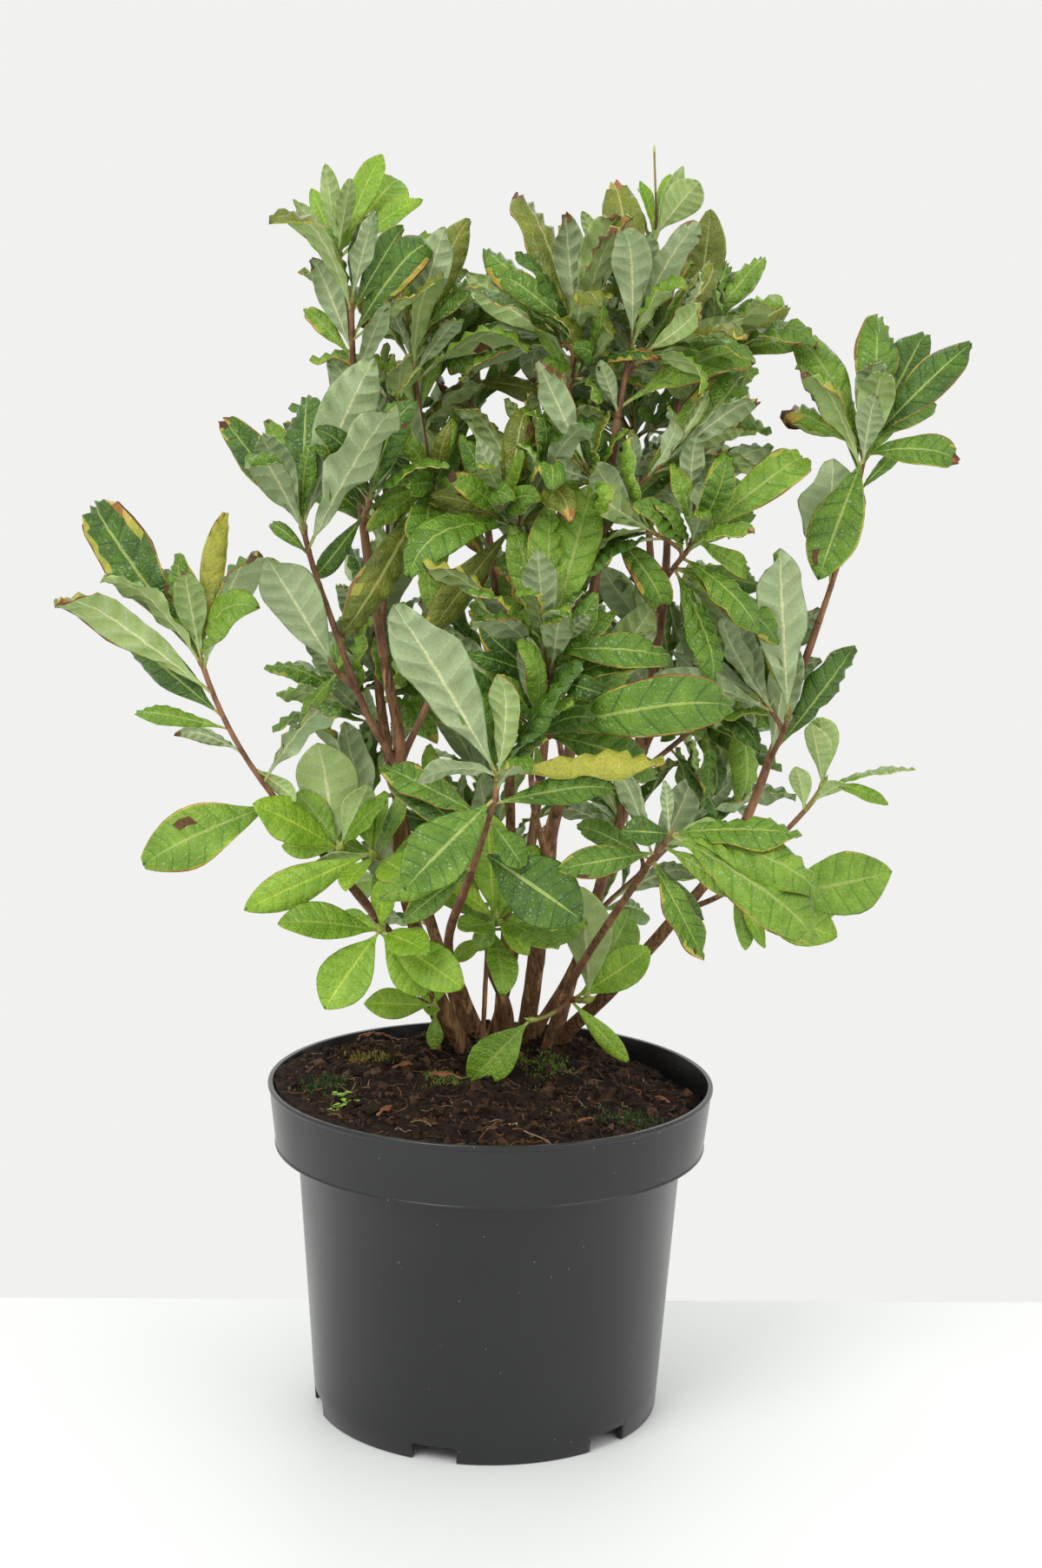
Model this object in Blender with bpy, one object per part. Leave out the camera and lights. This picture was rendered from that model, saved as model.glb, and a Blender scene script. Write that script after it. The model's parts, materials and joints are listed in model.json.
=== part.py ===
"""A deciduous azalea, which is a many-stemmed rhododendron, grown in a round nursery pot.

Metres, +Z up, +X to the right and +Y away from the viewer. The origin is the middle of the
pot's underside. Headings are degrees in plan, turned from +X towards +Y. Rises are degrees
above level. Every limb is one solid, and every mass of foliage is one solid of twigs and leaves.
"""

import math
import random
from collections import namedtuple

import bmesh
import bpy
from mathutils import Matrix, Vector
from mathutils.bvhtree import BVHTree

UP = Vector((0.0, 0.0, 1.0))
FRONT = Vector((0.0, -1.0, 0.0))
GAP = 0.0003  # between neighbours that touch
SEAT_STEP = 0.00008
POT_EDGE = 35.0  # degrees, from which the pot's edges are drawn sharp
BARK_EDGE = 50.0
FLAT = 0.5  # degrees, under which neighbouring faces are joined

# The pot: a 10 litre moulded nursery container, 28 cm across its rim.
POT_SEGMENTS = 32
RIM_RADIUS = 0.1403
RIM_HEIGHT = 0.2106
LIP_DEPTH = 0.0035
LIP_OVERHANG = 0.0010
BAND_FOOT_RADIUS = 0.1353
BAND_DEPTH = 0.0408
BODY_TOP_RADIUS = 0.1214
FOOT_RADIUS = 0.1094
WALL = 0.0022
FLOOR_UNDERSIDE = 0.0110
FLOOR_TOP = 0.0140
PAD_RADIUS = 0.0300
NOTCHES = 6
FIRST_NOTCH_HEADING = -48.0
NOTCH_WIDTH = 0.028
NOTCH_HEIGHT = 0.010
NOTCH_DEPTH = 0.016

# The soil: level where the clump stands, then falling evenly to the wall, lowest at the right.
CLUMP = Vector((0.011, 0.067, 0.0))
CLUMP_RADIUS = 0.050
GROUND = 0.2140
SOIL_EDGE_HEIGHT = 0.2010
SOIL_EDGE_SLOPE = 0.0085
SOIL_LOW_HEADING = 30.0
SOIL_RINGS = 4

# Limbs: eight-sided, flared where they leave the soil, tapering all the way.
STEM_SIDES = 8
BOUGH_SIDES = 6
LIMB_STEP = 0.048
ROOT_FLARE = 0.42
FLARE_HEIGHT = 0.009
FLARE_STATIONS = (0.006, 0.015)
CURVE_STEPS = 12

# Twigs and buds: three-sided.
TWIG_SIDES = 3
TWIG_RADIUS = 0.0017
SIDE_TWIG_RADIUS = 0.0013
TWIG_STATIONS = 4
TWIG_SWELL = 1.25  # where the whorl of leaves stands
TWIG_SWING = 0.35
TWIG_RISE = 0.8
FIRST_TWIG_SWELL = 1.3  # of a twig that carries on a limb
BUD_LENGTH = 0.010
BUD_SWELL = 1.5
BUD_WIDEST = 0.55
BUD_POINT = 0.25

# Leaves: long egg shapes, widest beyond the middle, on a short stalk.
PETIOLE = 0.08
PETIOLE_WIDTH = 0.0018
PETIOLE_DEPTH = 0.0014
OUTLINE_SKEW = 1.38
OUTLINE_FULLNESS = 0.75
LEAF_STATIONS = (0.40, 0.76)
LEAF_SLIMNESS = 62.0  # length over thickness
KEEL_START = 0.25  # the share of the length where the keel is at full depth
CLEARANCE = 0.0006
OWN_SHOOT_REACH = 0.008  # how far out a leaf begins to keep clear of its own shoot
OWN_SHOOT_SHARE = 0.3  # and the most that this may be of the leaf's length
GOLDEN_TURN = 137.5
WHORL_START = 0.008
WHORL_STEP = 0.0027
WHORL_LEAVES = 8
LOWER_LEAF_STEP = 0.016
WHORL_LOWEST = 0.08  # the share of the shoot below which no leaf grows
TOP, UNDER = 1, -1  # the side of a leading leaf that shows from the front
SHOWN = 0.6  # how far that side is turned to the front
LEANS = (6.0, 26.0)  # degrees
STEEP = 0.3  # a leaf that rises by more than this share of its length is steep
LEAF_SEAT = 0.6  # of the bud's length, the nearest to a shoot's tip that a leaf grows
UPRIGHT = 0.98  # the rise of a direction that counts as straight up
ALONG_HINT = 0.05  # a hint this nearly along a leaf says nothing of its upper side
OPENING_CURVE = 0.8  # how soon the whorl opens, going down the shoot
LEAST_OPENING = 8.0
INNER_LEAF_SIZE = 0.78
INNER_LEAF_GROWTH = (0.35, 2.0)  # the share of full size at the tip, and how soon it is reached
BEND_SHARES = (0.6, 0.6, 0.2)  # of the look's bend: at the tip, more at the foot, and either way
LARGER = 1.13  # than life, so that fewer leaves fill the crown
LEAF_WAVER = 9.0  # degrees
HOUR = 30.0  # degrees
WHORL_TURNS = (7919, 3571, 1237)  # degrees of turn for each metre, so that neighbours differ
WHORL_SPREAD = 1.5  # how much more a whorl's leaves differ in length than the look's leading ones
TRIES = 30
NUDGE = 1.0  # degrees more at each try
SHRINK = 0.016  # smaller by this at each try
CROWN_LOW = Vector((-0.270, -0.215, 0.2))
CROWN_HIGH = Vector((0.288, 0.300, 0.792))

Look = namedtuple("Look", "first_open last_open bend width fold spread")
MATURE = Look(64.0, 12.0, 38.0, 0.36, 9.0, 0.14)
AGED = Look(64.0, 12.0, 44.0, 0.33, 9.0, 0.14)
YOUNG = Look(48.0, 14.0, 14.0, 0.31, 20.0, 0.16)
FRESH = Look(82.0, 40.0, 22.0, 0.46, 12.0, 0.16)

Limb = namedtuple("Limb", "name parent at through width tip_width")
Shoot = namedtuple("Shoot", "tip leaves length look off leading", defaults=(None, ()))
Mass = namedtuple("Mass", "name limb at shoots")


def limb_rows():
    """Each stem: its foot, bends and tip. Each bough: where it leaves its parent, bends and tip."""
    soil = None
    return [
        Limb("stem_left", soil, 0, [(-0.016, 0.050), (-0.037, 0.036, 0.265), (-0.058, 0.018, 0.340),
                                    (-0.060, 0.010, 0.420)], 0.0095, 0.0078),
        Limb("stem_far_left", soil, 0, [(-0.028, 0.070), (-0.048, 0.055, 0.265), (-0.078, 0.022, 0.315),
                                        (-0.130, -0.015, 0.385)], 0.0072, 0.0048),
        Limb("stem_centre", soil, 0, [(0.024, 0.070), (0.028, 0.048, 0.265), (0.035, 0.020, 0.360)],
             0.0120, 0.0100),
        Limb("stem_tall", soil, 0, [(0.003, 0.078), (0.018, 0.068, 0.290), (0.035, 0.060, 0.445),
                                    (0.040, 0.030, 0.620)], 0.0072, 0.0044),
        Limb("stem_front", soil, 0, [(0.000, 0.046), (-0.016, 0.031, 0.254), (-0.028, 0.002, 0.298),
                                     (-0.015, -0.050, 0.355)], 0.0070, 0.0050),
        Limb("stem_right", soil, 0, [(0.044, 0.072), (0.078, 0.042, 0.258), (0.125, 0.010, 0.325)],
             0.0098, 0.0074),
        Limb("stem_right_front", soil, 0, [(0.037, 0.054), (0.050, 0.018, 0.268), (0.090, -0.080, 0.368)],
             0.0056, 0.0040),
        Limb("stem_right_back", soil, 0, [(0.030, 0.088), (0.065, 0.078, 0.290), (0.105, 0.085, 0.470),
                                          (0.110, 0.070, 0.615)], 0.0070, 0.0044),
        Limb("stem_back_left", soil, 0, [(-0.014, 0.094), (-0.050, 0.128, 0.320), (-0.075, 0.160, 0.430),
                                         (-0.070, 0.150, 0.530)], 0.0084, 0.0046),
        Limb("stem_back", soil, 0, [(0.008, 0.102), (0.015, 0.150, 0.345), (0.005, 0.178, 0.480),
                                    (-0.010, 0.150, 0.590)], 0.0080, 0.0044),
        Limb("stem_back_right", soil, 0, [(0.046, 0.100), (0.080, 0.140, 0.320), (0.112, 0.168, 0.430),
                                          (0.105, 0.158, 0.540)], 0.0084, 0.0046),
        Limb("stem_low_left", soil, 0, [(-0.033, 0.046), (-0.035, 0.038, 0.236)], 0.0030, 0.0026),
        Limb("stem_low_front", soil, 0, [(-0.005, 0.034), (-0.003, 0.026, 0.285)], 0.0034, 0.0028),
        Limb("stem_stub", soil, 0, [(0.013, 0.054), (0.011, 0.046, 0.244), (-0.001, 0.046, 0.272)],
             0.0078, 0.0064),
        Limb("bough_left_leader", "stem_left", 1.0, [(-0.070, 0.015, 0.475), (-0.084, 0.020, 0.560),
                                                     (-0.090, 0.025, 0.640)], 0.0066, 0.0044),
        Limb("bough_left", "stem_left", 0.94, [(-0.082, 0.002, 0.446), (-0.105, -0.010, 0.510)],
             0.0046, 0.0038),
        Limb("bough_left_inner", "stem_left", 0.95, [(-0.036, 0.034, 0.470), (-0.040, 0.050, 0.555)],
             0.0044, 0.0036),
        Limb("bough_centre_right", "stem_centre", 1.0, [(0.044, 0.010, 0.405), (0.052, 0.000, 0.475),
                                                        (0.062, -0.004, 0.555), (0.070, 0.000, 0.625)],
             0.0082, 0.0046),
        Limb("bough_centre_left", "stem_centre", 0.92, [(0.024, -0.008, 0.385), (0.020, -0.032, 0.415)],
             0.0044, 0.0036),
        Limb("bough_right", "stem_right", 1.0, [(0.155, 0.012, 0.370), (0.176, 0.020, 0.425),
                                                (0.200, 0.020, 0.500)], 0.0062, 0.0044),
        Limb("bough_right_low", "stem_right", 0.93, [(0.148, -0.012, 0.338), (0.175, -0.030, 0.375)],
             0.0036, 0.0030),
        Limb("bough_right_mid", "bough_centre_right", 0.40, [(0.084, 0.012, 0.500), (0.105, -0.010, 0.535)],
             0.0042, 0.0034),
    ]


def mass_rows():
    """Each mass: the limb it grows from, how far along, and its shoots with their leading leaves.

    A shoot gives its tip, how many leaves it has, their length and look, the shoot and the place
    that it forks from, and its leading leaves. A leading leaf gives its place on the shoot, the
    hour that it points to on a clock face seen from the front, its length as seen, its bend and
    the side that shows.
    """
    return [
        Mass("foliage_far_left", "stem_far_left", 1.0, [
            Shoot((-0.180, -0.040, 0.485), 13, 0.088, MATURE, None, (
                (0.98, 10.75, 0.130, 30, TOP), (0.76, 10.25, 0.120, 15, UNDER),
                (0.62, 10.25, 0.085, 20, TOP), (0.55, 9.5, 0.060, 20, TOP), (0.90, 0.75, 0.090, 40, UNDER),
                (0.98, 0.25, 0.090, 40, TOP), (0.98, 11.75, 0.060, 25, UNDER),
                (0.40, 9.5, 0.045, 40, UNDER), (0.20, 1.25, 0.080, 30, UNDER), (0.05, 8.25, 0.090, 30, TOP),
                (0.30, 4.25, 0.035, 30, UNDER),
            ))]),
        Mass("foliage_far_left_inner", "stem_far_left", 0.78, [
            Shoot((-0.094, -0.012, 0.366), 5, 0.060, FRESH, None, (
                (0.30, 11.75, 0.075, 15, UNDER), (0.95, 0.75, 0.045, 30, UNDER), (0.70, 9, 0.040, 30, TOP),
                (0.90, 10.75, 0.045, 20, TOP),
            ))]),
        Mass("foliage_left_upper", "bough_left", 1.0, [
            Shoot((-0.120, -0.020, 0.565), 9, 0.085, MATURE, None, (
                (0.90, 10.75, 0.085, 45, TOP), (0.98, 11.25, 0.065, 15, UNDER),
                (0.98, 10.75, 0.050, 20, TOP), (0.98, 12, 0.085, 15, TOP), (0.98, 0.75, 0.110, 25, UNDER),
                (0.64, 1, 0.105, 20, UNDER), (0.56, 10.25, 0.035, 50, TOP),
            ))]),
        Mass("foliage_left_hanging", "bough_left", 0.50, [
            Shoot((-0.104, -0.016, 0.480), 2, 0.070, MATURE, None, (
                (0.60, 11, 0.085, 15, UNDER), (0.60, 7.25, 0.040, 25, TOP),
            ))]),
        Mass("foliage_left_middle", "bough_left_leader", 0.64, [
            Shoot((-0.078, -0.012, 0.582), 8, 0.075, MATURE, None, (
                (0.50, 0.5, 0.060, 20, UNDER), (0.30, 11, 0.055, 20, TOP), (0.30, 5.75, 0.055, 60, UNDER),
                (0.90, 11.25, 0.055, 20, TOP), (0.35, 2, 0.030, 30, TOP), (0.30, 7.25, 0.055, 40, TOP),
            ))]),
        Mass("foliage_top_left", "bough_left_leader", 1.0, [
            Shoot((-0.092, 0.014, 0.700), 9, 0.078, AGED, None, (
                (0.90, 0.5, 0.050, 20, UNDER), (0.35, 11.25, 0.065, 15, UNDER),
                (0.30, 10.5, 0.045, 30, TOP), (0.50, 1.25, 0.090, 40, TOP), (0.48, 1.75, 0.050, 15, UNDER),
                (0.05, 0.75, 0.055, 20, UNDER), (0.75, 1, 0.065, 40, TOP),
            )),
            Shoot((-0.102, 0.044, 0.726), 10, 0.055, YOUNG, (0, 0.35), (
                (0.85, 10.75, 0.045, 15, TOP), (0.95, 11.75, 0.055, 10, UNDER),
                (0.92, 11.25, 0.045, 10, TOP), (0.88, 12, 0.040, 10, UNDER), (0.97, 0.75, 0.070, 25, TOP),
                (0.93, 0.5, 0.050, 10, UNDER), (0.92, 1.25, 0.065, 25, TOP), (0.82, 10.25, 0.025, 20, TOP),
                (0.88, 1.75, 0.065, 20, TOP),
            ))]),
        Mass("foliage_inner_left", "bough_left_inner", 1.0, [
            Shoot((-0.056, 0.045, 0.672), 12, 0.078, AGED, None, (
                (0.96, 0.5, 0.075, 15, UNDER), (0.98, 1.5, 0.070, 35, TOP), (0.98, 0.25, 0.075, 30, TOP),
                (0.96, 0.75, 0.090, 15, TOP), (0.80, 1.25, 0.050, 30, UNDER), (0.60, 0.5, 0.045, 20, TOP),
            )),
            Shoot((-0.040, 0.005, 0.588), 9, 0.072, AGED, (0, 0.18), (
                (0.50, 11.25, 0.070, 40, UNDER), (0.50, 7, 0.110, 30, TOP), (0.90, 0.5, 0.045, 30, TOP),
                (0.50, 4.75, 0.055, 30, TOP), (0.60, 6, 0.080, 35, TOP),
            ))]),
        Mass("foliage_back_top", "stem_back", 1.0, [
            Shoot((-0.022, 0.122, 0.662), 13, 0.078, AGED, None, (
                (0.95, 1.25, 0.045, 30, UNDER), (0.96, 11.5, 0.030, 20, UNDER),
                (0.45, 1.25, 0.060, 30, TOP), (0.75, 3.25, 0.060, 40, TOP), (0.25, 12, 0.050, 15, UNDER),
                (0.98, 0.75, 0.070, 30, TOP), (0.20, 4.25, 0.060, 40, TOP), (0.50, 5, 0.075, 40, TOP),
                (0.40, 7, 0.070, 40, TOP),
            ))]),
        Mass("foliage_top_centre", "stem_tall", 1.0, [
            Shoot((0.045, 0.010, 0.682), 15, 0.080, AGED, None, (
                (0.95, 11.75, 0.075, 25, UNDER), (0.98, 0.5, 0.080, 30, UNDER),
                (0.93, 11.25, 0.105, 30, TOP), (0.93, 11.5, 0.080, 30, TOP), (0.90, 10.25, 0.065, 30, TOP),
                (0.80, 10.5, 0.085, 35, TOP), (0.45, 11, 0.045, 40, TOP), (0.15, 11.5, 0.035, 15, UNDER),
                (0.92, 1.25, 0.055, 30, TOP), (0.95, 12, 0.050, 30, TOP),
            ))]),
        Mass("foliage_centre_upper", "stem_tall", 0.80, [
            Shoot((0.002, -0.022, 0.572), 13, 0.082, AGED, None, (
                (0.95, 11.25, 0.050, 15, UNDER), (0.95, 9.5, 0.050, 25, TOP), (0.90, 1, 0.065, 20, TOP),
                (0.92, 0.25, 0.075, 20, TOP), (0.75, 1.75, 0.040, 30, TOP), (0.80, 7.25, 0.085, 40, TOP),
                (0.60, 5.5, 0.075, 40, TOP),
            ))]),
        Mass("foliage_top_right_centre", "bough_centre_right", 1.0, [
            Shoot((0.080, 0.000, 0.688), 13, 0.076, AGED, None, (
                (0.95, 0.25, 0.055, 15, UNDER), (0.93, 1.25, 0.055, 30, TOP), (0.96, 11.75, 0.095, 35, TOP),
                (0.10, 2.25, 0.100, 70, TOP), (0.05, 11.25, 0.035, 15, UNDER), (0.10, 11.5, 0.045, 30, TOP),
                (0.70, 0.75, 0.040, 25, TOP),
            )),
            Shoot((0.094, 0.040, 0.742), 5, 0.042, YOUNG, (0, 0.40), (
                (0.96, 11.5, 0.035, 10, TOP), (0.96, 0.5, 0.040, 10, TOP), (0.94, 1.25, 0.040, 15, UNDER),
            )),
            Shoot((0.0915, 0.042, 0.790), 0, 0.0, YOUNG, (1, 0.95))]),
        Mass("foliage_centre_right", "bough_centre_right", 0.74, [
            Shoot((0.082, -0.022, 0.592), 8, 0.082, AGED, None, (
                (0.55, 1.5, 0.120, 35, TOP), (0.75, 12, 0.040, 15, UNDER), (0.20, 11.5, 0.075, 20, TOP),
                (0.35, 1.75, 0.050, 30, TOP), (0.05, 2.5, 0.040, 30, TOP), (0.05, 4, 0.105, 45, TOP),
                (0.10, 5.5, 0.060, 35, TOP), (0.15, 4.75, 0.065, 35, TOP),
            ))]),
        Mass("foliage_top_right", "stem_right_back", 1.0, [
            Shoot((0.122, 0.060, 0.676), 12, 0.078, AGED, None, (
                (0.96, 0.25, 0.085, 15, TOP), (0.94, 0.5, 0.050, 15, UNDER), (0.98, 0.75, 0.065, 20, TOP),
                (0.92, 1.25, 0.080, 25, TOP), (0.80, 1.75, 0.060, 30, TOP), (0.50, 1.75, 0.035, 50, TOP),
                (0.80, 10.75, 0.050, 30, TOP), (0.45, 10.75, 0.035, 30, TOP),
            ))]),
        Mass("foliage_right_middle", "bough_right_mid", 1.0, [
            Shoot((0.117, -0.032, 0.560), 14, 0.078, MATURE, None, (
                (0.85, 1.75, 0.100, 50, TOP), (0.92, 11.5, 0.050, 20, TOP), (0.70, 0.25, 0.045, 20, UNDER),
                (0.90, 0.75, 0.065, 20, TOP), (0.95, 4, 0.045, 50, TOP), (0.05, 4, 0.080, 40, TOP),
                (0.05, 3.25, 0.060, 45, TOP), (0.05, 4.75, 0.035, 20, UNDER), (0.05, 5.25, 0.075, 30, TOP),
            ))]),
        Mass("foliage_right_back_low", "stem_right_back", 0.46, [
            Shoot((0.158, 0.074, 0.462), 11, 0.070, MATURE, None, (
                (0.95, 1.25, 0.030, 20, TOP), (0.88, 5.25, 0.035, 30, UNDER), (0.60, 5.5, 0.050, 40, TOP),
                (0.62, 6, 0.055, 60, TOP), (0.95, 5.75, 0.085, 20, TOP), (0.35, 4.75, 0.055, 30, TOP),
                (0.98, 11.5, 0.035, 15, TOP),
            ))]),
        Mass("foliage_right_spray", "bough_right", 1.0, [
            Shoot((0.226, 0.020, 0.616), 19, 0.078, MATURE, None, (
                (0.90, 6.75, 0.080, 30, TOP), (0.92, 6.25, 0.080, 20, UNDER),
                (0.20, 12, 0.085, 20, UNDER), (0.97, 0.25, 0.090, 20, TOP),
                (0.97, 1, 0.085, 25, TOP), (0.96, 1.5, 0.095, 35, TOP), (0.96, 11, 0.085, 30, TOP),
                (0.95, 10.75, 0.070, 20, TOP), (0.85, 0.25, 0.070, 20, UNDER), (0.92, 10, 0.065, 95, TOP),
                (0.90, 3, 0.060, 85, TOP), (0.95, 1.75, 0.070, 20, TOP), (0.70, 1.5, 0.045, 25, TOP),
                (0.88, 11.25, 0.060, 25, TOP),
            ))]),
        Mass("foliage_right_side", "bough_right", 0.50, [
            Shoot((0.180, -0.014, 0.452), 4, 0.080, MATURE, None, (
                (0.20, 0.25, 0.080, 15, UNDER), (0.30, 1.25, 0.085, 20, TOP), (0.85, 11.75, 0.110, 15, UNDER),
                (0.98, 11.75, 0.070, 20, TOP),
            ))]),
        Mass("foliage_right_low", "bough_right_low", 1.0, [
            Shoot((0.200, -0.042, 0.415), 5, 0.055, FRESH, None, (
                (0.60, 1.75, 0.025, 30, UNDER), (0.95, 3.5, 0.040, 50, TOP),
                (0.96, 11.75, 0.045, 20, UNDER), (0.45, 11.5, 0.030, 30, UNDER),
            ))]),
        Mass("foliage_right_lowest", "bough_right_low", 0.45, [
            Shoot((0.170, -0.044, 0.342), 6, 0.060, FRESH, None, (
                (0.98, 2.5, 0.075, 20, TOP), (0.20, 3, 0.065, 20, TOP), (0.20, 3.75, 0.065, 30, TOP),
                (0.10, 5, 0.040, 50, TOP), (0.05, 5.5, 0.040, 25, TOP), (0.05, 6.5, 0.045, 30, TOP),
            ))]),
        Mass("foliage_right_front", "stem_right_front", 1.0, [
            Shoot((0.102, -0.092, 0.392), 12, 0.065, MATURE, None, (
                (0.95, 9.25, 0.030, 60, TOP), (0.95, 11.75, 0.035, 15, UNDER), (0.96, 4, 0.105, 45, TOP),
                (0.96, 3.5, 0.095, 40, TOP), (0.94, 2.75, 0.075, 40, TOP), (0.50, 4, 0.055, 45, TOP),
                (0.55, 2.75, 0.040, 20, UNDER), (0.10, 4.75, 0.055, 30, TOP), (0.05, 5, 0.065, 30, TOP),
                (0.15, 11.25, 0.070, 15, UNDER), (0.05, 9.75, 0.050, 30, TOP), (0.30, 8.75, 0.060, 30, TOP),
            ))]),
        Mass("foliage_low_right", "stem_right_front", 0.28, [
            Shoot((0.066, 0.012, 0.262), 5, 0.062, FRESH, None, (
                (0.20, 4.5, 0.055, 25, TOP), (0.30, 1.75, 0.065, 15, TOP),
                (0.60, 1.25, 0.065, 15, TOP), (0.20, 11.75, 0.055, 20, TOP), (0.90, 11.75, 0.080, 20, UNDER),
            )),
            Shoot((0.020, -0.006, 0.252), 1, 0.055, FRESH, (0, 0.15), (
                (0.90, 7.5, 0.054, 20, TOP),
            ))]),
        Mass("foliage_front", "stem_front", 1.0, [
            Shoot((0.000, -0.090, 0.425), 14, 0.078, MATURE, None, (
                (0.96, 11, 0.125, 12, UNDER), (0.75, 7.5, 0.075, 20, TOP), (0.95, 8.75, 0.050, 80, UNDER),
                (0.97, 2.75, 0.100, 70, TOP), (0.70, 2.5, 0.075, 20, TOP), (0.55, 9.75, 0.075, 20, TOP),
                (0.25, 4, 0.070, 20, TOP), (0.55, 4.75, 0.035, 25, TOP), (0.05, 7.75, 0.055, 20, TOP),
                (0.05, 8.5, 0.060, 20, TOP), (0.25, 10.25, 0.075, 25, TOP),
            ))]),
        Mass("foliage_front_low", "stem_low_front", 1.0, [
            Shoot((0.002, -0.006, 0.322), 9, 0.056, FRESH, None, (
                (0.90, 7, 0.025, 30, TOP), (0.85, 4.5, 0.030, 40, TOP), (0.50, 2.75, 0.060, 20, TOP),
                (0.30, 8, 0.030, 30, TOP),
            ))]),
        Mass("foliage_centre", "bough_centre_right", 0.17, [
            Shoot((0.027, -0.058, 0.495), 15, 0.080, MATURE, None, (
                (0.97, 11.75, 0.065, 15, UNDER), (0.98, 0.5, 0.105, 20, TOP), (0.98, 12, 0.090, 12, TOP),
                (0.98, 11.5, 0.080, 12, TOP), (0.98, 10.25, 0.095, 35, UNDER), (0.96, 3, 0.080, 85, TOP),
                (0.97, 1.5, 0.035, 20, UNDER), (0.85, 10.25, 0.065, 30, TOP), (0.60, 1.25, 0.060, 30, TOP),
            ))]),
        Mass("foliage_centre_low", "bough_centre_left", 1.0, [
            Shoot((0.022, -0.066, 0.452), 13, 0.070, MATURE, None, (
                (0.97, 11.75, 0.055, 12, UNDER), (0.96, 2, 0.070, 25, TOP), (0.75, 2.5, 0.125, 40, TOP),
                (0.60, 2.25, 0.050, 20, TOP), (0.70, 5.75, 0.035, 40, TOP), (0.75, 3.5, 0.085, 40, TOP),
                (0.85, 10.75, 0.050, 25, TOP),
            ))]),
        Mass("foliage_low_left", "stem_left", 0.44, [
            Shoot((-0.072, -0.034, 0.318), 6, 0.055, FRESH, None, (
                (0.90, 7.25, 0.055, 20, TOP), (0.95, 4.75, 0.050, 20, TOP), (0.90, 4, 0.060, 20, TOP),
                (0.97, 9.75, 0.025, 30, TOP),
            ))]),
        Mass("foliage_left_low", "stem_left", 0.66, [
            Shoot((-0.078, -0.014, 0.362), 7, 0.055, FRESH, None, (
                (0.95, 8.25, 0.085, 20, TOP), (0.90, 8.5, 0.050, 30, UNDER), (0.90, 11.5, 0.030, 15, TOP),
                (0.50, 2.25, 0.040, 20, TOP),
            ))]),
        Mass("foliage_foot_left", "stem_low_left", 1.0, [
            Shoot((-0.036, 0.030, 0.255), 4, 0.030, FRESH, None, (
                (0.90, 9.25, 0.045, 15, TOP), (0.95, 0.5, 0.025, 20, TOP), (0.50, 6, 0.025, 20, TOP),
            ))]),
        Mass("foliage_back_left_top", "stem_back_left", 1.0, [
            Shoot((-0.076, 0.150, 0.604), 13, 0.082, MATURE)]),
        Mass("foliage_back_left", "stem_back_left", 0.52, [
            Shoot((-0.080, 0.200, 0.476), 13, 0.080, MATURE),
            Shoot((-0.098, 0.160, 0.436), 7, 0.060, MATURE, (0, 0.30))]),
        Mass("foliage_back_left_low", "stem_back_left", 0.24, [
            Shoot((-0.092, 0.176, 0.366), 11, 0.070, MATURE)]),
        Mass("foliage_back_middle", "stem_back", 0.52, [
            Shoot((0.032, 0.226, 0.530), 13, 0.082, MATURE)]),
        Mass("foliage_back_low", "stem_back", 0.25, [
            Shoot((-0.004, 0.222, 0.380), 12, 0.072, MATURE)]),
        Mass("foliage_back_right_top", "stem_back_right", 1.0, [
            Shoot((0.088, 0.146, 0.636), 13, 0.082, MATURE)]),
        Mass("foliage_back_right", "stem_back_right", 0.56, [
            Shoot((0.135, 0.192, 0.468), 13, 0.080, MATURE),
            Shoot((0.140, 0.136, 0.430), 10, 0.074, MATURE, (0, 0.30))]),
        Mass("foliage_back_right_low", "stem_back_right", 0.26, [
            Shoot((0.148, 0.186, 0.360), 11, 0.070, MATURE)]),
    ]


# Curves and sweeps

def direction(heading, rise):
    heading, rise = math.radians(heading), math.radians(rise)
    return Vector((math.cos(heading) * math.cos(rise), math.sin(heading) * math.cos(rise), math.sin(rise)))


def smooth_path(points, start, end):
    """Points along a smooth curve through the given ones, leaving along start and arriving along end."""
    last = len(points) - 1
    slopes = []
    for i, point in enumerate(points):
        if i == 0:
            slopes.append(start.normalized() * (points[1] - point).length)
        elif i == last:
            slopes.append(end.normalized() * (point - points[i - 1]).length)
        else:
            slopes.append((points[i + 1] - points[i - 1]) / 2)
    path = []
    for i in range(last):
        for step in range(CURVE_STEPS):
            t = step / CURVE_STEPS
            path.append(
                points[i] * (2 * t**3 - 3 * t**2 + 1) + slopes[i] * (t**3 - 2 * t**2 + t)
                + points[i + 1] * (3 * t**2 - 2 * t**3) + slopes[i + 1] * (t**3 - t**2)
            )
    return path + [points[last]]


def path_length(path):
    return sum((b - a).length for a, b in zip(path, path[1:]))


def on_path(path, distance):
    """The point at this distance along the path, and the path's direction there."""
    for a, b in zip(path, path[1:]):
        step = (b - a).length
        if distance <= step:
            return a + (b - a) * (max(distance, 0.0) / step), (b - a).normalized()
        distance -= step
    return path[-1].copy(), (path[-1] - path[-2]).normalized()


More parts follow.
